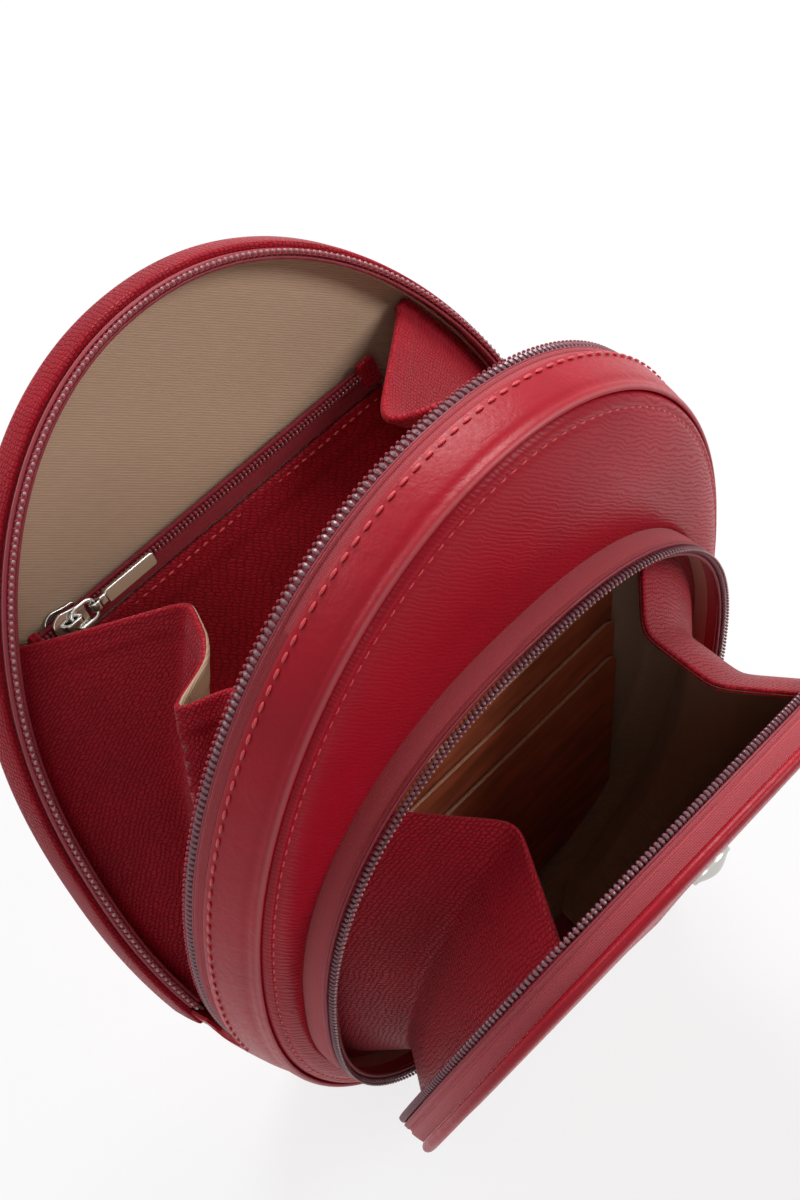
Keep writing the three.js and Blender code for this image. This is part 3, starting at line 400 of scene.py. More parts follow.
def disc(name, place, edge, centre, rings, thick, materials, split=None):
    """A filled panel: edge gives (x, z) round its outline, rings are (inset, depth) from the edge inwards,
    and thick is how far behind its face the back lies. Rings from split on take the second material.
    Its UV map is the surface laid flat from its centre outwards, in metres."""
    x, z = edge
    count = len(x)
    away = np.hypot(x - centre[0], z - centre[1])
    layers = []
    for inset, depth in rings:
        share = np.clip(1 - inset / away, 0, None) if inset < 1 else np.full(count, 2 - inset)
        rx, rz = centre[0] + (x - centre[0]) * share, centre[1] + (z - centre[1]) * share
        layers.append(place(rx, depth, rz))
    back = place(x, rings[0][1] + thick, z)
    hub = place(np.array([centre[0]]), rings[-1][1], np.array([centre[1]]))
    hub_back = place(np.array([centre[0]]), rings[-1][1] + thick, np.array([centre[1]]))
    points = np.concatenate([back, *layers, hub, hub_back])
    inwards = np.stack([back, *layers, np.broadcast_to(hub, back.shape)])
    steps = np.linalg.norm(np.diff(inwards, axis=0), axis=2)
    reach = np.cumsum(steps[::-1], 0)[::-1]
    outwards = np.stack([x - centre[0], z - centre[1]], -1) / away[:, None]
    flat = np.concatenate([(centre + outwards * reach[..., None]).reshape(-1, 2), [centre], [centre]])
    faces = []
    for i in range(len(layers)):
        faces += ring_faces(count, i * count, (i + 1) * count)
    front, rear = len(points) - 2, len(points) - 1
    last = len(layers) * count
    for j in range(count):
        m = (j + 1) % count
        faces += [(last + j, last + m, front), (m, j, rear)]
    uvs = [flat[v] for face in faces for v in face]
    kinds = [int(split is not None and i >= split * count) for i in range(len(faces))]
    return mesh_piece(name, points, faces, materials, uvs, kinds)


def spun(flat, degrees):
    """A flat UV map turned about its origin."""
    turn = math.radians(degrees)
    c, s = math.cos(turn), math.sin(turn)
    return np.stack([flat[..., 0] * c - flat[..., 1] * s, flat[..., 0] * s + flat[..., 1] * c], -1)


def grid_normals(grid):
    """Unit normals of a grid of points."""
    down = np.gradient(grid, axis=0)
    over = np.gradient(grid, axis=1)
    normal = np.cross(down, over)
    return normal / np.maximum(np.linalg.norm(normal, axis=-1, keepdims=True), 1e-12)


def sheet_piece(name, grid, thick, materials, flat=None):
    """A sheet with two faces and closed edges. The first material is on the normals' side and the edges,
    the second, where there is one, on the other side. thick may differ over the grid."""
    grid = np.asarray(grid, float)
    rows, count = grid.shape[:2]
    normal = grid_normals(grid)
    half = np.broadcast_to(np.asarray(thick, float), (rows, count))[..., None] / 2
    points = np.concatenate([(grid + normal * half).reshape(-1, 3), (grid - normal * half).reshape(-1, 3)])
    if flat is None:
        steps_down = np.linalg.norm(np.diff(grid, axis=0), axis=2)
        steps_over = np.linalg.norm(np.diff(grid, axis=1), axis=2)
        down = np.concatenate([np.zeros((1, count)), np.cumsum(steps_down, 0)])
        over = np.concatenate([np.zeros((rows, 1)), np.cumsum(steps_over, 1)], 1)
        flat = np.stack([over, down], -1)
    laid = np.concatenate([flat.reshape(-1, 2)] * 2)
    back = rows * count
    faces, kinds = [], []
    for i in range(rows - 1):
        for j in range(count - 1):
            a, b = i * count + j, i * count + j + 1
            c, d = a + count + 1, a + count
            faces += [(a, b, c, d), (back + a, back + d, back + c, back + b)]
            kinds += [0, len(materials) - 1]
    rim = list(range(count - 1))
    rim += [i * count + count - 1 for i in range(rows - 1)]
    rim += [(rows - 1) * count + j for j in range(count - 1, 0, -1)]
    rim += [i * count for i in range(rows - 1, 0, -1)]
    for a, b in zip(rim, rim[1:] + rim[:1]):
        faces.append((b, a, back + a, back + b))
        kinds.append(0)
    uvs = [laid[v] for face in faces for v in face]
    return mesh_piece(name, points, faces, materials, uvs, kinds)


def plate_piece(name, outline, place, front, back, bevel, materials):
    """A flat plate with softened edges: outline is (x, z) corners, its edge faces take the second material."""
    outline = np.asarray(outline, float)
    count = len(outline)
    ahead, behind = np.roll(outline, -1, 0) - outline, outline - np.roll(outline, 1, 0)
    normal = np.stack([ahead[:, 1] + behind[:, 1], -(ahead[:, 0] + behind[:, 0])], -1)
    normal /= np.maximum(np.linalg.norm(normal, axis=1, keepdims=True), 1e-12)
    area = np.sum(outline[:, 0] * np.roll(outline[:, 1], -1) - np.roll(outline[:, 0], -1) * outline[:, 1])
    inner = outline - normal * bevel * np.sign(area)
    layers = [(inner, front), (outline, front + bevel), (outline, back - bevel), (inner, back)]
    points = np.concatenate([place(loop[:, 0], depth, loop[:, 1]) for loop, depth in layers])
    flat = np.concatenate([loop for loop, _ in layers])
    faces = [tuple(range(count)), tuple(3 * count + j for j in reversed(range(count)))]
    kinds = [0, 0]
    for i in range(3):
        faces += ring_faces(count, i * count, (i + 1) * count)
        kinds += [len(materials) - 1] * count
    uvs = [flat[v] for face in faces for v in face]
    return mesh_piece(name, points, faces, materials, uvs, kinds)


def stand_for(piece, slot, nodes):
    """The piece stands for CAD nodes, which are hidden; the slot is not used."""
    if nodes:
        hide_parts(*nodes)
    return piece


def place_on(piece, body, slot, *nodes):
    """The piece rides on a body and stands for CAD nodes, which are hidden; the slot is not used."""
    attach(piece, body)
    return stand_for(piece, slot, nodes)


def bend_with(piece, bodies, start, end, slot, *nodes):
    """The piece's place is baked into its mesh and it stands for CAD nodes, which are hidden; it is not made to bend,
    and bodies, start, end and slot do nothing.
    """
    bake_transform(piece)
    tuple(start)
    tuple(end)
    return stand_for(piece, slot, nodes)


def add_node(tree, kind, settings=None, sockets=None):
    """A node with its settings; a socket's value is a constant or a (node, output) pair to link from."""
    node = tree.nodes.new(kind)
    for name, value in (settings or {}).items():
        setattr(node, name, value)
    for name, value in (sockets or {}).items():
        if isinstance(value, tuple) and isinstance(value[0], bpy.types.Node):
            tree.links.new(value[0].outputs[value[1]], node.inputs[name])
        else:
            node.inputs[name].default_value = value
    return node


def once(maker):
    """A material named for its maker, which fills its node tree on the first use."""
    def give():
        material = bpy.data.materials.get(maker.__name__)
        if material is None:
            material = bpy.data.materials.new(maker.__name__)
            material.use_nodes = True
            material.node_tree.nodes.clear()
            maker(material.node_tree)
        return material
    return give


def tinted(tree, code, value, seen, shades):
    """A colour made lighter and darker, by shades, as a value goes through the range that is seen."""
    shade = add_node(tree, "ShaderNodeMapRange", None, {
        "Value": value, "From Min": seen[0], "From Max": seen[1], "To Min": shades[0], "To Max": shades[1],
    })
    dyed = add_node(tree, "ShaderNodeVectorMath", {"operation": "SCALE"}, {
        0: colour(code)[:3], "Scale": (shade, "Result"),
    })
    return dyed, "Vector"


def dyed_grain(tree, spot, top, patch, shades, least, roughs):
    """Colour and roughness of grained leather: its creases painted darker as shade, uneven in tone over patches of a
    given size.
    """
    tone = add_node(tree, "ShaderNodeTexNoise", None, {
        "Vector": (spot, "Object"), "Scale": 1 / patch, "Detail": 3.0,
    })
    shade = add_node(tree, "ShaderNodeMapRange", None, {
        "Value": (tone, "Fac"), "From Min": 0.3, "From Max": 0.7, "To Min": shades[0], "To Max": shades[1],
    })
    # Painted shade: the creases of the grain are painted in the darker red, the tops keep the leather's red.
    lift = add_node(tree, "ShaderNodeMapRange", None, {"Value": (top, "Result"), "To Min": least, "To Max": 1.0})
    grain = add_node(tree, "ShaderNodeMix", {"data_type": "RGBA"}, {
        0: (lift, "Result"), 6: colour("dark_tone_and_crease_shade"), 7: colour("leather"),
    })
    dyed = add_node(tree, "ShaderNodeVectorMath", {"operation": "SCALE"}, {
        0: (grain, 2), "Scale": (shade, "Result"),
    })
    rough = add_node(tree, "ShaderNodeMapRange", None, {
        "Value": (top, "Result"), "To Min": roughs[0], "To Max": roughs[1],
    })
    return (dyed, "Vector"), (rough, "Result")


def end_material(tree, base, rough, height, depth, shader):
    """Principled shader with colour, roughness and a bump of a given depth in metres."""
    bump = add_node(tree, "ShaderNodeBump", None, {"Strength": 1.0, "Distance": depth, "Height": height})
    sockets = {"Base Color": base, "Roughness": rough, "Normal": (bump, "Normal"), **shader}
    skin = add_node(tree, "ShaderNodeBsdfPrincipled", None, sockets)
    add_node(tree, "ShaderNodeOutputMaterial", None, {"Surface": (skin, "BSDF")})


@once
def pebbled_calf(tree):
    """Calf leather, drum dyed and pressed with a fine grain: close rows of small raised pebbles with the creases
    between them painted darker as shade, and a dull gleam on their tops."""
    spot = add_node(tree, "ShaderNodeTexCoord")
    drift = add_node(tree, "ShaderNodeTexNoise", {"noise_dimensions": "2D"}, {
        "Vector": (spot, "UV"), "Scale": 1 / (5 * MM), "Detail": 2.0,
    })
    pull = add_node(tree, "ShaderNodeVectorMath", {"operation": "MULTIPLY_ADD"}, {
        0: (drift, "Color"), 1: (1.8 * MM, 1.8 * MM, 0.0), 2: (spot, "UV"),
    })
    lay = add_node(tree, "ShaderNodeMapping", None, {
        "Vector": (pull, "Vector"), "Scale": (1 / (1.15 * MM), 1 / (0.9 * MM), 1.0),
    })
    pebble = add_node(tree, "ShaderNodeTexVoronoi", {"feature": "DISTANCE_TO_EDGE", "voronoi_dimensions": "2D"}, {
        "Vector": (lay, "Vector"), "Scale": 1.0, "Randomness": 0.38,
    })
    top = add_node(tree, "ShaderNodeMapRange", {"interpolation_type": "SMOOTHSTEP"}, {
        "Value": (pebble, "Distance"), "From Min": 0.0, "From Max": 0.26,
    })
    base, rough = dyed_grain(tree, spot, top, 22 * MM, (0.8, 1.05), 0.25, (0.6, 0.36))
    end_material(tree, base, rough, (top, "Result"), 0.11 * MM, {
        "IOR": 1.5, "Specular IOR Level": 0.12, "Sheen Weight": 0.12, "Sheen Roughness": 0.4,
    })


@once
def wavy_calf(tree):
    """Soft calf leather of the front, boarded by hand: fine wavy creases across the skin, painted a little darker as
    shade, and a satin sheen.
    """
    spot = add_node(tree, "ShaderNodeTexCoord")
    step = 0.95 * MM
    lay = add_node(tree, "ShaderNodeMapping", {"vector_type": "TEXTURE"}, {
        "Vector": (spot, "Object"), "Rotation": (0.0, math.radians(44), 0.0),
        "Scale": (6 * MM, 6 * MM, 20 * step / (2 * math.pi)),
    })
    wrinkle = add_node(tree, "ShaderNodeTexWave", {"wave_type": "BANDS", "bands_direction": "Z"}, {
        "Vector": (lay, "Vector"), "Scale": 1.0, "Distortion": 9.0, "Detail": 3.0, "Detail Scale": 1.0,
        "Detail Roughness": 0.55,
    })
    crease = add_node(tree, "ShaderNodeMapRange", {"interpolation_type": "SMOOTHSTEP"}, {
        "Value": (wrinkle, "Fac"), "From Min": 0.0, "From Max": 0.55,
    })
    base, rough = dyed_grain(tree, spot, crease, 26 * MM, (0.88, 1.06), 0.75, (0.5, 0.33))
    end_material(tree, base, rough, (wrinkle, "Fac"), 0.035 * MM, {
        "IOR": 1.5, "Specular IOR Level": 0.16,
    })


@once
def smooth_calf(tree):
    """Split-smooth calf of the bands, glazed: even colour, faint pores and a soft sheen, with a pale highlight painted
    along the rolled edge.
    """
    spot = add_node(tree, "ShaderNodeTexCoord")
    pore = add_node(tree, "ShaderNodeTexNoise", None, {
        "Vector": (spot, "Object"), "Scale": 1 / (0.9 * MM), "Detail": 3.0,
    })
    tone = add_node(tree, "ShaderNodeTexNoise", None, {
        "Vector": (spot, "Object"), "Scale": 1 / (18 * MM), "Detail": 3.0,
    })
    mixed = add_node(tree, "ShaderNodeMapRange", None, {
        "Value": (tone, "Fac"), "From Min": 0.28, "From Max": 0.72, "To Min": 0.7, "To Max": 1.0,
    })
    even = add_node(tree, "ShaderNodeMix", {"data_type": "RGBA"}, {
        0: (mixed, "Result"), 6: colour("dark_tone_and_crease_shade"), 7: colour("leather"),
    })
    # Painted highlight: a mesh attribute paints the pale pink along the band's rolled edge.
    rub = add_node(tree, "ShaderNodeAttribute", {"attribute_name": "rub"})
    painted_highlight = add_node(tree, "ShaderNodeMath", {"operation": "MULTIPLY"}, {0: (rub, "Fac"), 1: 0.4})
    dyed = add_node(tree, "ShaderNodeMix", {"data_type": "RGBA"}, {
        0: (painted_highlight, "Value"), 6: (even, 2), 7: colour("ridge_highlight"),
    })
    rough = add_node(tree, "ShaderNodeMapRange", None, {
        "Value": (pore, "Fac"), "From Min": 0.3, "From Max": 0.7, "To Min": 0.34, "To Max": 0.46,
    })
    crumple = add_node(tree, "ShaderNodeTexNoise", None, {
        "Vector": (spot, "Object"), "Scale": 1 / (7 * MM), "Detail": 4.0, "Roughness": 0.6, "Distortion": 0.6,
    })
    skin = add_node(tree, "ShaderNodeMath", {"operation": "MULTIPLY_ADD"}, {
        0: (crumple, "Fac"), 1: 5.0, 2: (pore, "Fac"),
    })
    end_material(tree, (dyed, 2), (rough, "Result"), (skin, "Value"), 0.05 * MM, {
        "IOR": 1.5, "Specular IOR Level": 0.26,
    })


@once
def woven_tape(tree):
    """Polyester zip tape, woven: small plain-weave bumps, matt, with a dusty bloom on the red."""
    spot = add_node(tree, "ShaderNodeTexCoord")
    thread = 0.45 * MM
    warp, weft = (
        add_node(tree, "ShaderNodeTexWave", {"wave_type": "BANDS", "bands_direction": way}, {
            "Vector": (spot, "UV"), "Scale": 1 / (20 * thread) * 2 * math.pi, "Distortion": 0.6, "Detail Scale": 2.0,
        })
        for way in "XY"
    )
    weave = add_node(tree, "ShaderNodeMath", {"operation": "MULTIPLY"}, {0: (warp, "Fac"), 1: (weft, "Fac")})
    fuzz = add_node(tree, "ShaderNodeTexNoise", None, {
        "Vector": (spot, "Object"), "Scale": 1 / (0.5 * MM), "Detail": 3.0,
    })
    bloom = add_node(tree, "ShaderNodeMath", {"operation": "MULTIPLY_ADD"}, {
        0: (fuzz, "Fac"), 1: 0.7, 2: (weave, "Value"),
    })
    base = tinted(tree, "tape", (bloom, "Value"), (0.1, 1.4), (0.72, 1.15))
    end_material(tree, base, 0.85, (bloom, "Value"), 0.05 * MM, {
        "Specular IOR Level": 0.25, "Sheen Weight": 0.25, "Sheen Roughness": 0.5,
    })


@once
def ribbed_lining(tree):
    """Viscose lining cloth, woven with a fine slanting rib: matt, slightly uneven in tone."""
    spot = add_node(tree, "ShaderNodeTexCoord")
    rib_pitch = 0.55 * MM
    rib = add_node(tree, "ShaderNodeTexWave", {"wave_type": "BANDS", "bands_direction": "Y"}, {
        "Vector": (spot, "UV"), "Scale": 2 * math.pi / (20 * rib_pitch), "Distortion": 1.5, "Detail": 2.0,
        "Detail Scale": 1.5,
    })
    slub = add_node(tree, "ShaderNodeMapping", None, {
        "Vector": (spot, "UV"), "Scale": (1 / (4 * MM), 1 / (0.7 * MM), 1.0),
    })
    uneven = add_node(tree, "ShaderNodeTexNoise", None, {"Vector": (slub, "Vector"), "Scale": 1.0, "Detail": 3.0})
    level = add_node(tree, "ShaderNodeMath", {"operation": "MULTIPLY_ADD"}, {
        0: (uneven, "Fac"), 1: 0.8, 2: (rib, "Fac"),
    })
    base = tinted(tree, "lining", (level, "Value"), (0.2, 1.5), (0.8, 1.08))
    end_material(tree, base, 0.8, (level, "Value"), 0.05 * MM, {
        "Specular IOR Level": 0.3, "Sheen Weight": 0.15, "Sheen Roughness": 0.5,
    })


def speckled(tree, code, grain, spread, rough, depth, shader):
    """A material of one colour, made lighter and darker by a spread over specks of a given size."""
    spot = add_node(tree, "ShaderNodeTexCoord")
    speck = add_node(tree, "ShaderNodeTexNoise", None, {"Vector": (spot, "Object"), "Scale": 1 / grain, "Detail": 2.0})
    base = tinted(tree, code, (speck, "Fac"), (0.0, 1.0), (1 - spread, 1 + spread))
    end_material(tree, base, rough, (speck, "Fac"), depth, shader)


@once
def nylon_coil(tree):
    """Nylon monofilament of the zip, extruded and dyed: glossy round turns, dark between."""
    speckled(tree, "coil", 3 * MM, 0.3, 0.28, 0.03 * MM, {"IOR": 1.53, "Specular IOR Level": 0.6})


@once
def coil_heads(tree):
    """Pale glossy beads in a row on the nylon coil's heads: painted glints of the coil."""
    speckled(tree, "glint", 2 * MM, 0.35, 0.2, 0.02 * MM, {"IOR": 1.53, "Specular IOR Level": 0.6})


@once
def coil_thread(tree):
    """Polyester thread that sews the coil to its tape: matt red with a faint twist."""
    speckled(tree, "wrap", 0.7 * MM, 0.4, 0.55, 0.08 * MM, {"Specular IOR Level": 0.4})


@once
def narrow_tape(tree):
    """Narrow polyester tape of the inner zip, closely woven: dark dusty red, matt."""
    speckled(tree, "wrap", 0.45 * MM, 0.5, 0.8, 0.08 * MM, {"Specular IOR Level": 0.25})


@once
def sewing_thread(tree):
    """Bonded nylon sewing thread, twisted: brighter than the leather, with a slight gleam."""
    speckled(tree, "thread", 0.5 * MM, 0.25, 0.45, 0.06 * MM, {"Specular IOR Level": 0.45})


@once
def cut_edge(tree):
    """Raw cut edge of the brown leather, burnished: paler, dry and slightly fibrous."""
    speckled(tree, "card_edge", 0.8 * MM, 0.3, 0.6, 0.05 * MM, {"Specular IOR Level": 0.35})


@once
def brown_calf(tree):
    """Vegetable-tanned calf of the card slots, smooth and waxed: deep brown with long soft streaks."""
    spot = add_node(tree, "ShaderNodeTexCoord")
    lay = add_node(tree, "ShaderNodeMapping", None, {
        "Vector": (spot, "Object"), "Scale": (1 / (14 * MM), 1 / (14 * MM), 1 / (3 * MM)),
    })
    streak = add_node(tree, "ShaderNodeTexNoise", None, {"Vector": (lay, "Vector"), "Scale": 1.0, "Detail": 4.0})
    base = tinted(tree, "card", (streak, "Fac"), (0.3, 0.7), (0.7, 1.25))
    end_material(tree, base, 0.32, (streak, "Fac"), 0.05 * MM, {
        "IOR": 1.5, "Specular IOR Level": 0.5,
    })


@once
def plated_nickel(tree):
    """Zinc castings, tumbled and nickel plated: mirror bright with faint rubbing marks."""
    spot = add_node(tree, "ShaderNodeTexCoord")
    rub = add_node(tree, "ShaderNodeTexNoise", None, {
        "Vector": (spot, "Object"), "Scale": 1 / (1.4 * MM), "Detail": 4.0,
    })
    rough = add_node(tree, "ShaderNodeMapRange", None, {"Value": (rub, "Fac"), "To Min": 0.1, "To Max": 0.28})
    end_material(tree, colour("nickel"), (rough, "Result"), (rub, "Fac"), 0.01 * MM, {"Metallic": 1.0})


@once
def studio_paper(tree):
    """Matt white background paper; the camera and mirrors see it washed out towards white."""
    ray = add_node(tree, "ShaderNodeLightPath")
    seen = add_node(tree, "ShaderNodeMath", {"operation": "MAXIMUM"}, {
        0: (ray, "Is Camera Ray"), 1: (ray, "Is Glossy Ray"),
    })
    through = add_node(tree, "ShaderNodeMath", {"operation": "MAXIMUM"}, {
        0: (seen, "Value"), 1: (ray, "Is Transmission Ray"),
    })
    wash = add_node(tree, "ShaderNodeMath", {"operation": "MULTIPLY"}, {0: (through, "Value"), 1: 0.8})
    paper = add_node(tree, "ShaderNodeBsdfDiffuse", None, {"Color": colour("floor")})
    white = add_node(tree, "ShaderNodeEmission", None, {"Color": (1, 1, 1, 1), "Strength": 1.0})
    mixed = add_node(tree, "ShaderNodeMixShader", None, {
        0: (wash, "Value"), 1: (paper, "BSDF"), 2: (white, "Emission"),
    })
    add_node(tree, "ShaderNodeOutputMaterial", None, {"Surface": (mixed, "Shader")})


def bead_tree():
    """Geometry Nodes: one bead at each step along a path, X along it and Z along the path's face direction."""
    found = bpy.data.node_groups.get("Beads along a path")
    if found:
        return found
    tree = bpy.data.node_groups.new("Beads along a path", "GeometryNodeTree")
    tree.is_modifier = True
    inputs = (
        ("Path", "NodeSocketGeometry"), ("Pitch", "NodeSocketFloat"),
        ("Bead", "NodeSocketObject"), ("Material", "NodeSocketMaterial"),
    )
    for label, kind in inputs:
        tree.interface.new_socket(label, in_out="INPUT", socket_type=kind)
    tree.interface.new_socket("Row", in_out="OUTPUT", socket_type="NodeSocketGeometry")
    given = add_node(tree, "NodeGroupInput")
    curve = add_node(tree, "GeometryNodeMeshToCurve", None, {"Mesh": (given, "Path")})
    even = add_node(tree, "GeometryNodeResampleCurve", {"mode": "LENGTH"}, {
        "Curve": (curve, "Curve"), "Length": (given, "Pitch"),
    })
    tangent = add_node(tree, "GeometryNodeInputTangent")
    face = add_node(tree, "GeometryNodeInputNamedAttribute", {"data_type": "FLOAT_VECTOR"}, {"Name": "face"})
    along = add_node(tree, "FunctionNodeAlignRotationToVector", {"axis": "X"}, {"Vector": (tangent, "Tangent")})
    turned = add_node(tree, "FunctionNodeAlignRotationToVector", {"axis": "Z", "pivot_axis": "X"}, {
        "Rotation": (along, "Rotation"), "Vector": (face, "Attribute"),
    })
    bead = add_node(tree, "GeometryNodeObjectInfo", None, {"Object": (given, "Bead")})
    row = add_node(tree, "GeometryNodeInstanceOnPoints", None, {
        "Points": (even, "Curve"), "Instance": (bead, "Geometry"), "Rotation": (turned, "Rotation"),
    })
    real = add_node(tree, "GeometryNodeRealizeInstances", None, {"Geometry": (row, "Instances")})
    paint = add_node(tree, "GeometryNodeSetMaterial", None, {
        "Geometry": (real, "Geometry"), "Material": (given, "Material"),
    })
    add_node(tree, "NodeGroupOutput", None, {"Row": (paint, "Geometry")})
    return tree


def bead_shape(name, length, wide, high, power=2.0, around=8, rings=5):
    """A small rounded bead, X along its row."""
    points, faces = [], []
    bend = lambda v: math.copysign(abs(v) ** (2 / power), v)
    for i in range(1, rings):
        polar = math.pi * i / rings
        for j in range(around):
            turn = 2 * math.pi * j / around
            points.append((
                length / 2 * bend(math.sin(polar)) * bend(math.cos(turn)),
                wide / 2 * bend(math.cos(polar)),
                high / 2 * bend(math.sin(polar)) * bend(math.sin(turn)),
            ))
    points += [(0, wide / 2, 0), (0, -wide / 2, 0)]
    top, foot = len(points) - 2, len(points) - 1
    for i in range(rings - 2):
        faces += ring_faces(around, i * around, (i + 1) * around)
    last = (rings - 2) * around
    for j in range(around):
        m = (j + 1) % around
        faces += [(m, j, top), (last + j, last + m, foot)]
    return mesh_piece(name, points, faces, [])


def bead_row(name, paths, pitch, bead, material, body, slot, *nodes):
    """Beads along one or more paths of (points, face directions), as one plain mesh on one body."""
    points, edges, faces = [], [], []
    for path, face in paths:
        start = len(points)
        points += [tuple(p) for p in path]
        faces += [tuple(f) for f in np.broadcast_to(face, np.shape(path))]
        edges += [(start + i, start + i + 1) for i in range(len(path) - 1)]
    mesh = bpy.data.meshes.new(name + "_path")
    mesh.from_pydata(points, edges, [])
    mesh.attributes.new("face", "FLOAT_VECTOR", "POINT").data.foreach_set("vector", np.ravel(faces))
    holder = link(name + "_path", mesh)
    tree = bead_tree()
    modifier = holder.modifiers.new("Beads", "NODES")
    values = {"Pitch": pitch, "Bead": bead, "Material": material}
    modifier.node_group = tree
    for item in tree.interface.items_tree:
        if item.in_out == "INPUT" and item.name in values:
            modifier[item.identifier] = values[item.name]
    bpy.context.view_layer.update()
    graph = bpy.context.evaluated_depsgraph_get()
    result = bpy.data.meshes.new_from_object(holder.evaluated_get(graph))
    if not result.polygons:
        raise RuntimeError(f"{name}: the row of beads is empty")
    result.polygons.foreach_set("use_smooth", [True] * len(result.polygons))
    result.name = name
    bpy.data.objects.remove(holder)
    return place_on(link(name, result), body, slot, *nodes)


def drop(*pieces):
    """Takes helper objects out of the scene."""
    for piece in pieces:
        bpy.data.objects.remove(piece)


def around(count):
    """Values of u once round an oval."""
    return np.arange(count) / count


def circle(count):
    """Angles once round a circle."""
    return np.linspace(0, 2 * np.pi, count, endpoint=False)


def body_path(pouch):
    """Values of u once round the body, closer together where the zip ends at the bending line."""
    fold = float(pouch.right_at(pouch.body_oval, 0, pouch.sizes.fold_height))
    near = np.linspace(fold - 0.008, fold + 0.008, 33)
    return np.unique(np.round(np.concatenate([around(300), near, 1 - near]), 7))


class POUCH_OT_leather_body(bpy.types.Operator):
    """Body band with its rolled front edge, front leather, back leather and the sides of the fold"""

    bl_idname = "pouch.leather_body"
    bl_label = "Body leather"

    def execute(self, context):
        pouch = Pouch()
        self.band(pouch)
        self.front(pouch)
        self.back(pouch)
        self.fold_sides(pouch)
        return {"FINISHED"}

    def band(self, pouch):
        """From the groove over the rolled edge to the zip, and to the back below the bending line."""
        u = body_path(pouch)
        _, z = pouch.body_xz(BAND_OUT, u)
        fold = pouch.sizes.fold_height
        zip_edge = pouch.sizes.body_depth - BAND_EDGE
        reach = zip_edge + (pouch.back - 0.2 * MM - zip_edge) * (1 - ease(z, fold - 1.6 * MM, fold + 0.6 * MM))
        out = [(GROOVE - 0.05 * MM, RIM_DEPTH + 1.1 * MM), (GROOVE, RIM_DEPTH + 0.6 * MM)]
        for turn in np.linspace(math.pi, 2 * math.pi, 13):
            out.append((1.5 * MM + 0.72 * MM * math.cos(turn), RIM_DEPTH + 1.2 * MM * math.sin(turn)))
        for share in np.linspace(0.06, 1, 14):
            sunk = 0.35 * MM * math.exp(-(((share - 0.13) / 0.07) ** 2))
            r = BAND_OUT + 0.15 * MM * math.sin(math.pi * share) - sunk
            out.append((r, RIM_DEPTH + (reach - RIM_DEPTH - 0.45 * MM) * share))
        out += [(r * MM, reach - less * MM) for r, less in ((2.08, 0.14), (1.8, 0.0), (1.0, 0.0), (0.7, 0.2))]
        out.append((BAND_IN, RIM_DEPTH + 1.5 * MM))
        # Painted highlight: a pale line painted along the rolled edge, where it would catch a sheen.
        rub = np.zeros(len(out))
        rub[8:15] = 0.8 * np.sin(np.linspace(0, math.pi, 7)) ** 2
        columns = [pouch.body(r, depth, u) for r, depth in out]
        band = grid_piece("body_band", np.stack(columns, 1), [smooth_calf()], ring=True, rub=rub)
        place_on(band, "body", "red_leather", "zip_band_front", "bottom_gusset", "front_piping")

    def front(self, pouch):
        """Crowned leather from the pocket's wall out to the groove."""
        u = around(280)
        near = np.array([0, 0.25, 0.6, 1.1, 1.8, 2.8, 4.0]) * MM
        far = np.array([5.6, 4.9, 4.3, 3.8, 3.3, 2.7, 2.1, 1.5, 1.0, 0.6, 0.3, 0.1, 0]) * MM
        _, span = pouch.front_face(u, np.zeros(len(u)))
        shrink = np.minimum(1, span / FULL_FRONT)
        edges = [span - shrink * s for s in near]
        for share in np.linspace(0, 1, 9)[1:-1]:
            edges.append(edges[len(near) - 1] * (1 - share) + shrink * far[0] * share)
        edges += [shrink * s for s in far]
        columns = [pouch.front_face(u, edge)[0] for edge in edges]
        for last in (columns[-1], columns[0]):
            columns.append(np.column_stack([last[:, 0], np.full(len(u), 4.4 * MM - pouch.middle), last[:, 2]]))
        front = grid_piece("front_leather", np.stack(columns, 1), [wavy_calf()], ring=True)
        place_on(front, "body", "red_leather", "front_panel")

    def back(self, pouch):
        """One skin over the whole back, in rows along the line where it bends with the shell."""
        start = pouch.shell_start(pouch.back)
        fold = pouch.sizes.fold_height
        r, low = 1.0 * MM, BAND_OUT - 0.9 * MM
        top = pouch.body_top + r

        def place(x, depth, z):
            turn = np.asarray(ease(z, fold - 0.4 * MM, start))[..., None]
            grown = ease(z, fold + 15 * MM, fold + 95 * MM) * 3.0 * MM
            away = np.maximum(np.hypot(x, z - BODY_CENTRE), MM)
            still = pouch.world(x, depth, z)
            moved = pouch.shell_turn(x * (1 + grown / away), depth, z + (z - BODY_CENTRE) * grown / away)
            return still * (1 - turn) + moved * turn

        share = np.sin(np.linspace(0, math.pi / 2, 40))
        heights = np.concatenate([
            low + np.array([0, 0.3, 0.8, 1.6]) * MM, np.linspace(low + 3 * MM, fold - 2 * MM, 18),
            np.linspace(fold - 1 * MM, start + 1 * MM, 13), start + 3 * MM + (top - 0.1 * MM - start - 3 * MM) * share,
        ])
        across = np.sin(np.linspace(-math.pi / 2, math.pi / 2, 81))
        rows, flat = [], []
        for z in heights:
            half = pouch.half_width(pouch.body_oval, r, z)
            inset = np.minimum((1 - np.abs(across)) * half, min(top - z, z - low))
            depth = pouch.back + 0.2 * MM - 1.4 * MM * np.exp(-inset / (1.3 * MM))
            rows.append(place(half * across, depth, np.full(len(across), z)))
            flat.append(np.stack([half * across, np.full(len(across), z)], -1))
        back = sheet_piece("back_leather", np.stack(rows), 1.4 * MM, [pebbled_calf()], np.stack(flat))
        still, moved = place(0.0, pouch.back, fold - 0.4 * MM), place(0.0, pouch.back, start)
        line = Vector((0, *still[1:])), Vector((0, *moved[1:]))
        bend_with(back, ("body", "back_shell"), *line, "red_leather", "back_panel_lower", "back_panel")

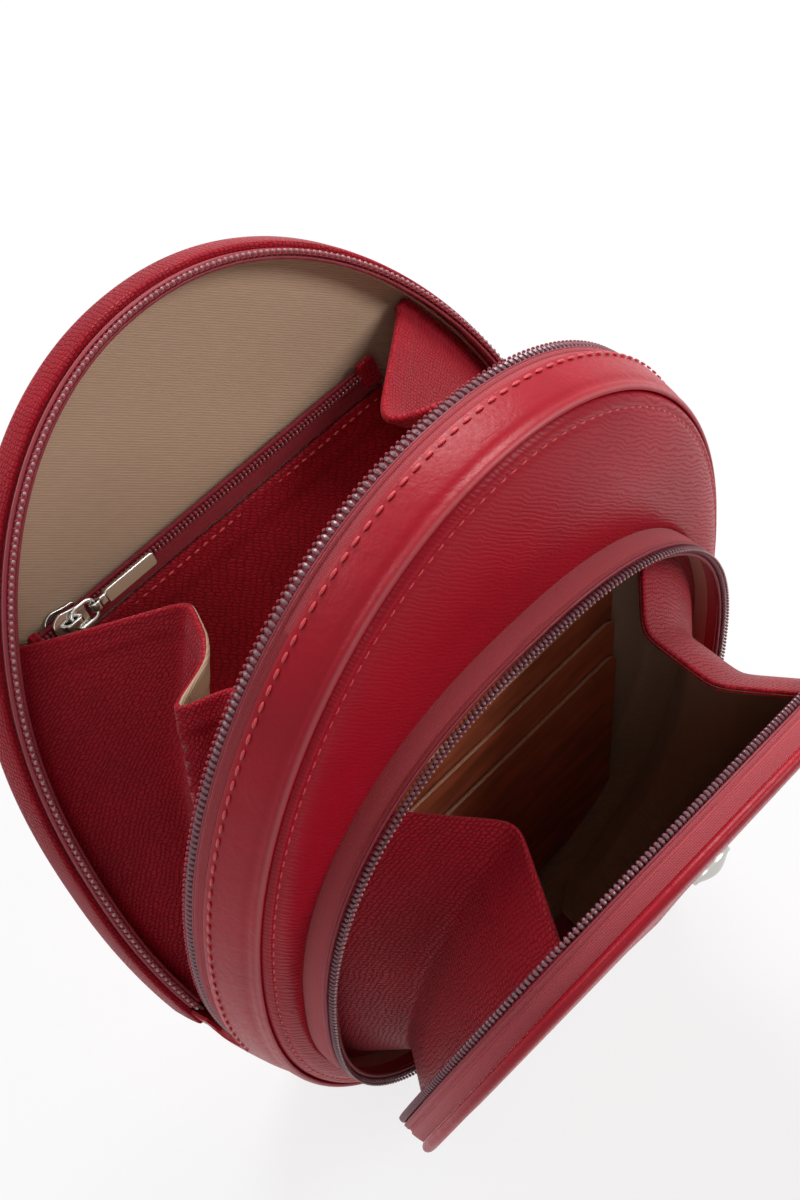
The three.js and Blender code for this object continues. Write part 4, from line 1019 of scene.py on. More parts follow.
    def fold_sides(self, pouch):
        """Leather under both sides of the fold, which closes the wedge when the shell is shut."""
        fold = pouch.sizes.fold_height
        depths = np.linspace(pouch.fold + 0.8 * MM, pouch.back - 0.6 * MM, 9)
        for side, name in ((1, "right"), (-1, "left")):
            rows = []
            for step in np.linspace(-4, 4, 17) * MM:
                turned = pouch.shell_turn if step > 0 else pouch.world
                row = []
                for depth in depths:
                    z = (pouch.shell_start(depth) if step > 0 else fold - 0.3 * MM) + step
                    row.append(turned(side * pouch.half_width(pouch.body_oval, 1.2 * MM, z), depth, z))
                rows.append(row)
            strip = sheet_piece(f"fold_side_{name}", np.array(rows), 0.8 * MM, [smooth_calf()])
            line = (0, 0, fold - 0.28 * MM), (0, 0, fold - 0.02 * MM)
            bend_with(strip, ("body", "back_shell"), *line, "red_leather")


class POUCH_OT_leather_shell(bpy.types.Operator):
    """Band of the back shell"""

    bl_idname = "pouch.leather_shell"
    bl_label = "Shell leather"

    def execute(self, context):
        pouch = Pouch()
        edge = pouch.fold + SHELL_EDGE
        profile = spots(((0.7, 0.15), (1.0, 0), (1.8, 0), (2.1, 0.15), (2.25, 0.6), (2.35, 1.6), (2.4, 2.8)), edge)
        profile += spots(((2.35, -1.6), (2.15, -0.7), (1.75, -0.1), (1.2, 0.1), (0.8, -0.2)), pouch.back)
        paths = lambda r, depth: pouch.above(pouch.body_oval, r, pouch.shell_start(depth), 240)
        band = swept(pouch.shell, profile, paths, "shell_leather", [pebbled_calf()])
        place_on(band, "back_shell", "red_leather", "shell_band")
        return {"FINISHED"}


class POUCH_OT_zips(bpy.types.Operator):
    """Woven tapes and coils of the main zip and the pocket's zip"""

    bl_idname = "pouch.zips"
    bl_label = "Zips"

    def execute(self, context):
        pouch = Pouch()
        self.tapes(pouch)
        self.coils(pouch)
        return {"FINISHED"}

    def tapes(self, pouch):
        """Each tape has a rounded cord along its coil."""
        s = pouch.sizes
        tapes = (
            ("body_tape", pouch.body, -1, 1.5 * MM, "body", "body_zip_tape"),
            ("shell_tape", pouch.shell, 1, 9 * MM, "back_shell", "shell_zip_tape"),
        )
        for name, place, way, low, body, node in tapes:
            far = pouch.fold + way * TAPE_FAR
            profile = [(TAPE / 2, far)]
            profile += spots(((0.4, 1.2), (0.75, 0.9), (0.85, 0.5), (0.6, 0.1), (0.1, -0.3), (0.1, -2), (-0.4, -2)),
                             pouch.fold + way * TAPE_NEAR, way)
            profile.append((-TAPE / 2, far))
            paths = lambda r, depth: pouch.above(pouch.body_oval, r, s.fold_height + low, 260)
            place_on(swept(place, profile, paths, name, [woven_tape()]), body, "zip_tape", node)
        walls = (
            ("pocket_wall", pouch.pocket, 1, 1.2 * MM, "body", "pocket_zip_tape"),
            ("flap_wall", pouch.flap, -1, pouch.flap_face + 0.2 * MM, "front_flap", "flap_zip_tape"),
        )
        for name, place, way, far, body, node in walls:
            profile = self.wall(pouch.flap_coil + way * TAPE_NEAR, far, way)
            wall = swept(place, profile, lambda r, depth: around(240), name, [woven_tape()], ring=True)
            place_on(wall, body, "zip_tape", node)
        reach = float(pouch.right_at(pouch.pocket_oval, 0, s.pocket_base + 2.8 * MM))
        foot = lambda r, depth: np.linspace(-reach, reach, 61)
        bend = spots(((0.5, 3.2), (0.7, 0), (0.5, -3.2), (-0.3, -3.2), (-0.1, 0), (-0.3, 3.2)), pouch.flap_coil)
        piece = swept(pouch.pocket, bend, foot, "pocket_fold", [woven_tape()])
        y = pouch.flap_coil - pouch.middle
        line = (0, y + 2.2 * MM, s.pocket_base), (0, y - 2.2 * MM, s.pocket_base)
        bend_with(piece, ("body", "front_flap"), *line, "zip_tape", "pocket_bend")

    @staticmethod
    def wall(near, far, way):
        """A standing wall's profile: slightly swollen, with a cord beside its coil."""
        profile = spots(((0.35, 0.1), (0.8, 0.35), (0.85, 0.9), (0.55, 1.4), (0.75, 2.2)), near, way)
        span = abs(far - near)
        for share in (0.4, 0.55, 0.7, 0.85, 1.0):
            swell = 0.75 + 0.3 * math.sin(math.pi * share) - 0.25 * share
            profile.append((swell * MM, near + way * span * share))
        return profile + [(-0.5 * MM, far), (-0.55 * MM, near + way * 1.5 * MM), (-0.4 * MM, near)]

    def coils(self, pouch):
        """Rows of glossy turns between two cords of sewing thread, with a row of heads at the meeting edge: red thread
        on the body's coil, and pale beads that paint the coil's glints on the shell's and the pocket's.
        """
        s = pouch.sizes
        shapes = {}
        for grade in (1.0, 0.8):
            shapes[grade] = (
                bead_shape(f"coil_turn_{grade}", 1.25 * MM * grade, 2.3 * MM * grade, 1.9 * MM * grade, power=2.4),
                bead_shape(f"coil_head_{grade}", 0.9 * MM * grade, 0.8 * MM, 0.9 * MM * grade, around=6, rings=4),
            )
        shapes["pearl"] = (bead_shape("coil_pearl", 1.0 * MM, 0.9 * MM, 1.0 * MM),)
        fold, foot = s.fold_height, s.pocket_base
        rows = (
            ("body", pouch.body, pouch.body_oval, pouch.fold, -1, fold + 1.5 * MM, "body"),
            ("shell", pouch.shell, pouch.body_oval, pouch.fold, 1, fold + 9 * MM, "back_shell"),
            ("pocket", pouch.pocket, pouch.pocket_oval, pouch.flap_coil, 1, foot + 5 * MM, "body"),
            ("flap", pouch.flap, pouch.pocket_oval, pouch.flap_coil, -1, foot + 13 * MM, "front_flap"),
        )
        for name, place, oval, depth, way, low, body in rows:
            u = pouch.above(oval, 0, low, 400)
            middle = depth + way * COIL_MIDDLE
            path = place(0.0, middle, u)
            face = place(1.0 * MM, middle, u) - path
            turn, head = shapes[1.0 if name == "body" else 0.8]
            step = s.coil_pitch * (0.8 if oval is pouch.pocket_oval else 1.0)
            wire = coil_thread() if name == "shell" else nylon_coil()
            bead_row(f"{name}_coil", [(path, face)], step, turn, wire, body, "zip_coil", f"{name}_zip_coil")
            # Painted highlight: on the shell and the pocket the row of heads is pale beads that paint the coil's
            # glints; the body's heads are red thread.
            if name != "flap":
                shine = coil_thread() if name == "body" else coil_heads()
                head = shapes["pearl"][0] if name == "shell" else head
                near = 0.85 * MM if name == "shell" else 0.45 * MM
                heads = [(place(0.35 * MM, depth + way * near, u), face)]
                bead_row(f"{name}_coil_heads", heads, step, head, shine, body, "zip_coil")
            for side, r, d in (("outer", 0.45, 3.0), ("inner", -1.1, 1.7)):
                ring = [(r * MM + CORD * math.cos(a), depth + way * (d * MM + CORD * math.sin(a))) for a in circle(8)]
                cord = swept(place, ring, lambda r, depth: u, f"{name}_{side}_cord", [coil_thread()])
                place_on(cord, body, "zip_tape")
        for pair in shapes.values():
            drop(*pair)


class POUCH_OT_linings(bpy.types.Operator):
    """Ribbed linings of the compartment, the shell, the pocket and the flap"""

    bl_idname = "pouch.linings"
    bl_label = "Linings"

    def execute(self, context):
        pouch = Pouch()
        self.compartment(pouch)
        self.shell(pouch)
        self.pocket(pouch)
        return {"FINISHED"}

    def compartment(self, pouch):
        """Cup behind the front, and the lower part below the bending line."""
        s = pouch.sizes
        u = around(240)
        edge = pouch.body_xz(LINING_OUT, u)
        floor = s.pocket_recess + 1.1 * MM + LINING
        rim = s.body_depth - BAND_NEAR + 0.3 * MM
        rings = spots(((0, -0.6),), floor) + spots(((0, -0.2), (0.15, 0), (0.6, -0.1), (0.75, -0.6)), rim)
        rings += spots(((0.85, 1.2), (1.2, 0.5), (2.2, 0.1)), floor)
        rings += [(1 + share, floor) for share in np.linspace(0.1, 0.95, 14)]
        lining = disc("compartment_lining", pouch.world, edge, (0.0, BODY_CENTRE), rings, -0.1 * MM, [ribbed_lining()])
        place_on(lining, "body", "taupe_lining", "body_lining")
        top = s.fold_height - 0.4 * MM
        start = float(pouch.right_at(pouch.body_oval, LINING_OUT, top))
        path = np.linspace(-start, start, 90)
        back = pouch.back - LINING_BACK
        rows = []
        for depth, r in ((rim + 0.4 * MM, -1.1), (rim + 3 * MM, -1.1), (back - 2 * MM, -1.1), (back - 0.8 * MM, -1.3)):
            rows.append(pouch.body(r * MM, depth, path))
        for share in (0.02, 0.05, 0.12, 0.3, 0.6, 1.0):
            x, z = pouch.body_xz(-1.4 * MM, path)
            rows.append(pouch.world(x * (1 - share * 0.4), back - 0.2 * MM, z + (top - z) * share))
        lower = sheet_piece("lower_lining", np.stack(rows), LINING, [ribbed_lining()])
        place_on(lower, "body", "taupe_lining", "bottom_lining", "back_lining_lower")

    def shell(self, pouch):
        """Flat lining of the back shell, and its strip round the side."""
        back = pouch.back - LINING_BACK + LINING / 2
        low = pouch.shell_start(back)
        high = pouch.body_top + 1.4 * MM + LINING_OUT
        rows, flat = [], []
        across = np.linspace(-1, 1, 61)
        for share in np.linspace(0, 1, 61):
            z = low + (high - 0.15 * MM - low) * math.sin(math.pi / 2 * share)
            r = LINING_OUT + 1.4 * MM * float(ease(z, low + 42 * MM, low + 92 * MM))
            r += 1.1 * MM * float(ease(z, low + 15 * MM, low + 95 * MM))
            x = pouch.half_width(pouch.body_oval, r, z)
            wave = 0.15 * MM * np.sin(across * 5 + z / (17 * MM)) * np.sin(z / (23 * MM))
            billow = (0.1 * MM + wave) * (1 - across ** 4) * math.sin(math.pi * min(share + 0.1, 1))
            rows.append(pouch.shell_turn(x * across, back - billow, z))
            flat.append(np.stack([x * across, np.full(61, z)], -1))
        ribs = spun(np.stack(flat), 36)
        lining = sheet_piece("shell_lining_cloth", np.stack(rows), LINING, [ribbed_lining()], ribs)
        place_on(lining, "back_shell", "taupe_lining", "shell_lining")
        edge = pouch.fold + BAND_NEAR
        profile = spots(((-0.75, 0.1), (-1.1, -0.1), (-1.45, 0.2)), edge) + spots(((-1.5, -0.2), (-0.75, -0.2)), back)
        paths = lambda r, depth: pouch.above(pouch.body_oval, r, pouch.shell_start(depth), 220)
        side = swept(pouch.shell, profile, paths, "shell_side_cloth", [ribbed_lining()])
        place_on(side, "back_shell", "taupe_lining", "shell_side_lining")

    def pocket(self, pouch):
        """Cup of the front pocket and the inside of the flap."""
        s = pouch.sizes
        u = around(220)
        centre = (0.0, pouch.pocket_oval[3])
        edge = pouch.on_oval(pouch.pocket_oval, -0.6 * MM, u)
        floor = s.pocket_recess
        rings = spots(((0, 0.6),), floor) + spots(((0, -4.2), (0.2, -4.5), (0.45, -4.2), (0.55, 0)))
        rings += spots(((0.8, -2), (1.2, -0.7), (2.2, -0.1)), floor)
        rings += [(1 + share, floor) for share in np.linspace(0.1, 0.95, 12)]
        cup = disc("pocket_cloth", pouch.world, edge, centre, rings, 0.1 * MM, [ribbed_lining()])
        place_on(cup, "body", "taupe_lining", "pocket_lining")
        edge = pouch.on_oval(pouch.pocket_oval, -0.75 * MM, u)
        face = pouch.flap_face + 2.0 * MM
        rings = spots(((0, -0.6), (0.3, -0.1), (0.9, 0), (3, 0.1)), face)
        rings += [(1 + share, face + 0.2 * MM) for share in np.linspace(0.1, 0.95, 12)]
        inside = disc("flap_cloth", pouch.flap_turn, edge, centre, rings, -0.7 * MM, [ribbed_lining()])
        place_on(inside, "front_flap", "taupe_lining", "flap_lining")


class POUCH_OT_cards(bpy.types.Operator):
    """Card slots with pale cut edges"""

    bl_idname = "pouch.cards"
    bl_label = "Card slots"

    def execute(self, context):
        pouch = Pouch()
        s = pouch.sizes
        leather, pitch = 0.9 * MM, 1.1 * MM
        slots = (("card_backing", 27.5), ("card_slot_3", 37.5), ("card_slot_2", 47.5), ("card_slot_1", 59.5))
        for layer, (node, below) in enumerate(slots):
            back = s.pocket_recess - 0.25 * MM - layer * pitch
            outline = self.outline(pouch, pouch.pocket_top - below * MM)
            card = plate_piece(node + "_leather", outline, pouch.world, back - leather, back, 0.2 * MM,
                               [brown_calf(), cut_edge()])
            place_on(card, "body", "tan_leather", node)
        return {"FINISHED"}

    def outline(self, pouch, top):
        """As wide as a card, and following the pocket's side where that is narrower."""
        corner, half = 4 * MM, 45 * MM
        r = -1.8 * MM
        heights = np.linspace(pouch.sizes.pocket_base + 6 * MM, top - corner, 24)
        right = list(zip(np.minimum(pouch.half_width(pouch.pocket_oval, r, heights), half), heights))
        shoulder = right[-1][0]
        for turn in np.linspace(0, math.pi / 2, 9)[1:]:
            right.append((shoulder - corner + corner * math.cos(turn), top - corner + corner * math.sin(turn)))
        return right + [(-a, b) for a, b in reversed(right)]


# Directions across the open compartment and the open pocket, from the body to the other leaf
MAIN_ACROSS = Vector((0, 0.957, -0.289))
POCKET_ACROSS = Vector((0, -0.987, -0.163))


class POUCH_OT_gussets(bpy.types.Operator):
    """Folded side gussets of the compartment and of the pocket"""

    bl_idname = "pouch.gussets"
    bl_label = "Gussets"

    def execute(self, context):
        pouch = Pouch()
        for side, name, main_drop, pocket_drop in ((-1, "left", 43, 19.5), (1, "right", 38, 17.5)):
            self.main(pouch, side, name, pouch.body_top - main_drop * MM)
            self.front(pouch, side, name, pouch.pocket_top - pocket_drop * MM)
        return {"FINISHED"}

    @staticmethod
    def fold_line(stops, at, soft):
        """How far the gusset is folded in along its run, with rounded tips."""
        fine = np.linspace(-0.3, 1.3, 801)
        sharp = np.interp(fine, [p for p, _ in stops], [f for _, f in stops])
        reach = int(round(3 * soft / (fine[1] - fine[0])))
        weight = np.exp(-0.5 * (np.arange(-reach, reach + 1) / (reach / 3)) ** 2)
        smooth = np.convolve(sharp, weight / weight.sum(), mode="same")
        return np.interp(at, fine, smooth)

    def grid(self, side, edges, stops, heights, base, high, soft, least):
        """Rows up the gusset, columns from one leaf to the other. stops may change with the depth below the top,
        and least is the share of the fold that is left at the foot."""
        at = np.linspace(0, 1, 81)
        rows = []
        for z in heights:
            fold = self.fold_line(stops(high - z) if callable(stops) else stops, at, soft) * MM
            seat_a, run_a, run_b, seat_b = (edge(z) for edge in edges)
            run = run_a + (run_b - run_a) * at[:, None]
            run[:, 0] -= fold * (least + (1 - least) * (z - base) / (high - base))
            row = np.concatenate([[seat_a], run, [seat_b]])
            row[:, 0] *= side
            rows.append(row)
        return np.stack(rows)

    def side_place(self, pouch, turn, oval, r, depth):
        """Right-hand place on a leaf's side as a function of height."""
        def at(z):
            u = pouch.right_at(oval, r, z)
            if turn == pouch.shell_turn:
                x, height = pouch.shell_xz(r, depth, u)
            else:
                x, height = pouch.on_oval(oval, r, u)
            return turn(x, depth, height)
        return at

    @staticmethod
    def valley(below):
        """Fold of the left gusset: its second crease runs out to the body's rim lower down."""
        valley = min(0.645 + 0.008 * below / MM, 0.93)
        lift = max(0.0, 1 - below / (55 * MM))
        reach = valley - 0.36
        return (
            (0, 0), (0.34, 28), (0.36 + 0.5 * reach, 22), (0.36 + 0.8 * reach, 16.5), (0.36 + 0.93 * reach, 10),
            (valley, 0.5), (valley + 0.3 * (1 - valley), 15 * lift), (1, 0),
        )

    def main(self, pouch, side, name, high):
        """Gusset between the shell and the body, with its hem; the left one has a second crease."""
        s = pouch.sizes
        low = s.fold_height + 5 * MM
        place = lambda turn, r, depth: self.side_place(pouch, turn, pouch.body_oval, r * MM, depth)
        shell, body, fold = pouch.shell_turn, pouch.world, pouch.fold
        edges = (
            place(shell, -2.45, fold + 6.3 * MM), place(shell, -3.95, fold + 5.2 * MM),
            place(body, -3.95, fold - 5.2 * MM), place(body, -2.45, fold - 6.3 * MM),
        )
        stops, soft = ((0, 0), (0.39, 36), (0.66, -1), (1, 0)), 0.045
        if side < 0:
            stops, soft = self.valley, 0.022
        ends = np.array([5.6, 5.2, 4.9, 4.6, 3.5, 2.4, 1.5, 0.9, 0.4, 0.1, 0])
        heights = np.concatenate([np.linspace(low, high - 6.5 * MM, 30), high - ends * MM])
        grid = self.grid(side, edges, stops, heights, s.fold_height, high, soft, 0.2 if side < 0 else 0.0)
        hem = np.array([1.2, 1.2, 1.5, 1.7, 1.75, 1.7, 1.75, 1.9, 1.7, 1.1, 0.5])
        thick = np.concatenate([np.full(30, 1.2), hem]) * MM
        if side < 0:
            grid = grid[:, ::-1]
        inside = ribbed_lining() if side < 0 else pebbled_calf()
        piece = sheet_piece(f"main_gusset_{name}_leather", grid, thick[:, None], [pebbled_calf(), inside])
        hinge = Vector((0, pouch.fold - pouch.middle, s.fold_height))
        reach = MAIN_ACROSS * 29 * MM
        bend_with(piece, ("body", "back_shell"), hinge - reach, hinge + reach, "red_leather", f"main_gusset_{name}")

    def front(self, pouch, side, name, high):
        """Gusset between the pocket and its flap, with a leather binding over its top edge."""
        s = pouch.sizes
        place = lambda turn, r, depth: self.side_place(pouch, turn, pouch.pocket_oval, r * MM, depth)
        coil = pouch.flap_coil
        deep = 9.0 * MM
        edges = (
            place(pouch.world, -1.35, coil + deep), place(pouch.world, -3.4, coil + deep - 0.7 * MM),
            place(pouch.flap_turn, -3.95, coil - 5.2 * MM), place(pouch.flap_turn, -1.35, coil - 6.0 * MM),
        )
        stops = ((0, 0), (0.45, 17.5), (1, 0)) if side < 0 else ((0, 0), (0.27, 15.5), (0.64, 14.8), (1, 0))
        base = s.pocket_base + 5 * MM
        top = high + 3.5 * MM
        ends = np.array([1.2, 0.8, 0.4, 0.1, 0])
        heights = np.concatenate([np.linspace(base + 0.5 * MM, top - 1.6 * MM, 30), top - ends * MM])
        grid = self.grid(side, edges, stops, heights, base, top, 0.04, 0.45)
        hem = top - np.array([3.6, 3.4, 2.5, 1.2, 0.4, 0.05]) * MM
        binding = self.grid(side, edges, stops, hem, base, top, 0.04, 0.45)
        if side < 0:
            grid, binding = grid[:, ::-1], binding[:, ::-1]
        binding = binding - grid_normals(binding) * 0.7 * MM
        hinge = Vector((0, coil - pouch.middle, s.pocket_base))
        reach = POCKET_ACROSS * 18 * MM
        thick = np.concatenate([np.full(30, 1.0), [1.0, 1.1, 1.1, 0.9, 0.5]]) * MM
        piece = sheet_piece(f"pocket_gusset_{name}_leather", grid, thick[:, None], [pebbled_calf(), ribbed_lining()])
        bend_with(piece, ("body", "front_flap"), hinge - reach, hinge + reach, "red_leather", f"pocket_gusset_{name}")
        thick = np.array([0.3, 0.6, 0.7, 0.7, 0.6, 0.3]) * MM
        edge = sheet_piece(f"pocket_binding_{name}_leather", binding, thick[:, None], [pebbled_calf()])
        bend_with(edge, ("body", "front_flap"), hinge - reach, hinge + reach, "red_leather", f"pocket_binding_{name}")


class POUCH_OT_inner_pocket(bpy.types.Operator):
    """Zip pocket inside the back shell: panel, tapes, coils and end tabs"""

    bl_idname = "pouch.inner_pocket"
    bl_label = "Inner pocket"

    def execute(self, context):
        pouch = Pouch()
        s = pouch.sizes
        back = pouch.back - LINING_BACK - PANEL
        face = back - PANEL
        top = s.inner_top - 0.3 * MM
        self.panel(pouch, face, back, top)
        zip_z = s.inner_top + 4.45 * MM
        r = -1.5 * MM
        wall, _ = pouch.shell_xz(r, face, pouch.right_at(pouch.body_oval, r, zip_z))
        left = 5.8 * MM - float(wall)
        right = left + 106 * MM
        self.zip(pouch, left, right, back, zip_z)
        return {"FINISHED"}

    def panel(self, pouch, face, back, top):
        """Grained leather with its top edge folded over."""
        r = -6.0 * MM
        low = pouch.shell_start(back)
        across = np.linspace(-1, 1, 71)
        hem = np.array([6.2, 5, 3.5, 2, 1, 0.5, 0.15, 0]) * MM
        heights = np.concatenate([np.linspace(low, top - 7 * MM, 44), top - hem])
        rows, flat = [], []
        for z in heights:
            x, _ = pouch.shell_xz(r, face, pouch.right_at(pouch.body_oval, r, z))
            wave = 0.25 * MM * np.sin(across * 9 + 1) * float(ease(z, top - 40 * MM, top))
            swell = 0.8 * MM * (1 - across ** 4) * math.sin(math.pi * (z - low) / (top - low))
            rows.append(pouch.shell_turn(x * across, (face + back) / 2 - swell - wave, z))
            flat.append(np.stack([x * across, np.full(71, z)], -1))
        rows_of_grain = spun(np.stack(flat), 40) * (0.6, 1.2)
        thick = np.where(heights > top - 6.4 * MM, 1.7, 1.2) * MM
        thick[-3:] = np.array([1.5, 1.1, 0.5]) * MM
        panel = sheet_piece("inner_panel_leather", np.stack(rows), thick[:, None], [pebbled_calf()], rows_of_grain)
        place_on(panel, "back_shell", "red_leather", "inner_pocket_panel")

    def zip(self, pouch, left, right, back, zip_z):
        """Two narrow tapes, two rows of coil and a leather tab at each end."""
        front = back - 0.5 * MM
        coil_depth = front - 0.3 * MM - 0.75 * MM
        run = np.linspace(left + 3 * MM, right - 5.6 * MM, 40)
        ahead, pitch = pouch.shell_ahead(), pouch.sizes.inner_pitch
        bead = bead_shape("inner_turn", 1.08 * MM, 0.95 * MM, 1.0 * MM, power=2.3)
        for way, name in ((-1, "lower"), (1, "upper")):
            x = np.linspace(left, right, 54)
            offsets = np.array([0.2, 0.9, 1.2, 1.5 if way > 0 else 2.5, 1.7 if way > 0 else 4.4]) * MM
            swell = np.array([0.1, 0.15, 0.3, 0.05, 0.0]) * MM
            rows = [pouch.shell_turn(x, front - bump, zip_z + way * off) for off, bump in zip(offsets, swell)]
            tape = sheet_piece(f"inner_tape_{name}", np.stack(rows), 0.5 * MM, [narrow_tape()])
            place_on(tape, "back_shell", "zip_tape", f"inner_zip_tape_{name}")
            path = pouch.shell_turn(run, coil_depth, zip_z + way * 0.5 * MM)
            bead_row(f"inner_coil_{name}", [(path, ahead)], pitch, bead, coil_thread(), "back_shell", "zip_coil",
                     f"inner_zip_coil_{name}")
        # Painted highlight: a row of pale beads between the two coils paints their glints.
        glint = bead_shape("inner_glint", 0.55 * MM, 0.5 * MM, 0.6 * MM, around=6, rings=4)
        path = pouch.shell_turn(run, coil_depth - 0.5 * MM, zip_z)
        bead_row("inner_coil_heads", [(path, ahead)], pitch, glint, coil_heads(), "back_shell", "zip_coil")
        drop(bead, glint)
        reach, corner = 3.1 * MM, 0.9 * MM
        for name, low, high in (("left", left, left + 2.8 * MM), ("right", right - 5.4 * MM, right)):
            outline = []
            for cx, cz, start in ((high, reach, 0), (low, reach, 90), (low, -reach, 180), (high, -reach, 270)):
                mx = cx - corner if cx == high else cx + corner
                mz = cz - corner if cz > 0 else cz + corner
                for turn in np.linspace(start, start + 90, 6):
                    a = math.radians(turn)
                    outline.append((mx + corner * math.cos(a), zip_z + mz + corner * math.sin(a)))
            tab = plate_piece(f"inner_tab_{name}", outline, pouch.shell_turn, front - 2.2 * MM, front - 0.3 * MM,
                              0.6 * MM, [pebbled_calf()])
            place_on(tab, "back_shell", "red_leather", f"inner_zip_tab_{name}")


class POUCH_OT_flap(bpy.types.Operator):
    """Flap's leather with its rolled edge, and the plain oval stud"""

    bl_idname = "pouch.flap"
    bl_label = "Flap"

    def execute(self, context):
        pouch = Pouch()
        u = around(240)
        edge = pouch.on_oval(pouch.pocket_oval, 0.2 * MM, u)
        face = pouch.flap_face
        roll = [(0.9, 0.1), (-0.5, 0.15), (-1.1, -0.2), (-1.5, -0.8), (-1.55, -1.4), (-1.2, -2.0), (-0.5, -2.4),
                (0.4, -2.55), (1.3, -2.5), (2.2, -2.45), (4, -2.5), (7, -2.6)]
        rings = spots(roll, face)
        rings += [(1 + share, face - (2.7 + 0.8 * share) * MM) for share in np.linspace(0.2, 0.96, 12)]
        centre = (0.0, pouch.pocket_oval[3])
        skins = [smooth_calf(), wavy_calf()]
        leather = disc("flap_leather", pouch.flap_turn, edge, centre, rings, -0.4 * MM, skins, split=10)
        place_on(leather, "front_flap", "red_leather", "flap_panel", "flap_piping")
        self.stud(pouch)
        return {"FINISHED"}

    def stud(self, pouch):
        """A domed oval cap on a low rim."""
        turns = circle(48)
        centre = (0.0, 118 * MM)
        edge = (5.5 * MM * np.cos(turns), centre[1] + 4.0 * MM * np.sin(turns))
        face = pouch.flap_face - 3.2 * MM
        rings = spots(((0, 0), (0, -0.5), (0.25, -0.75), (0.6, -0.75), (0.75, -0.6), (0.95, -0.8)), face)
        for share in np.linspace(0.3, 0.95, 9):
            rings.append((1 + share, face - (0.8 + 1.4 * math.sin(math.pi / 2 * (share - 0.2) / 0.8)) * MM))
        cap = disc("stud_dome", pouch.flap_turn, edge, centre, rings, 0.6 * MM, [plated_nickel()])
        place_on(cap, "front_flap", "nickel", "stud_cap")
        frame["nodes"]["stud_back_plate"].data.materials.clear()
        frame["nodes"]["stud_back_plate"].data.materials.append(plated_nickel())


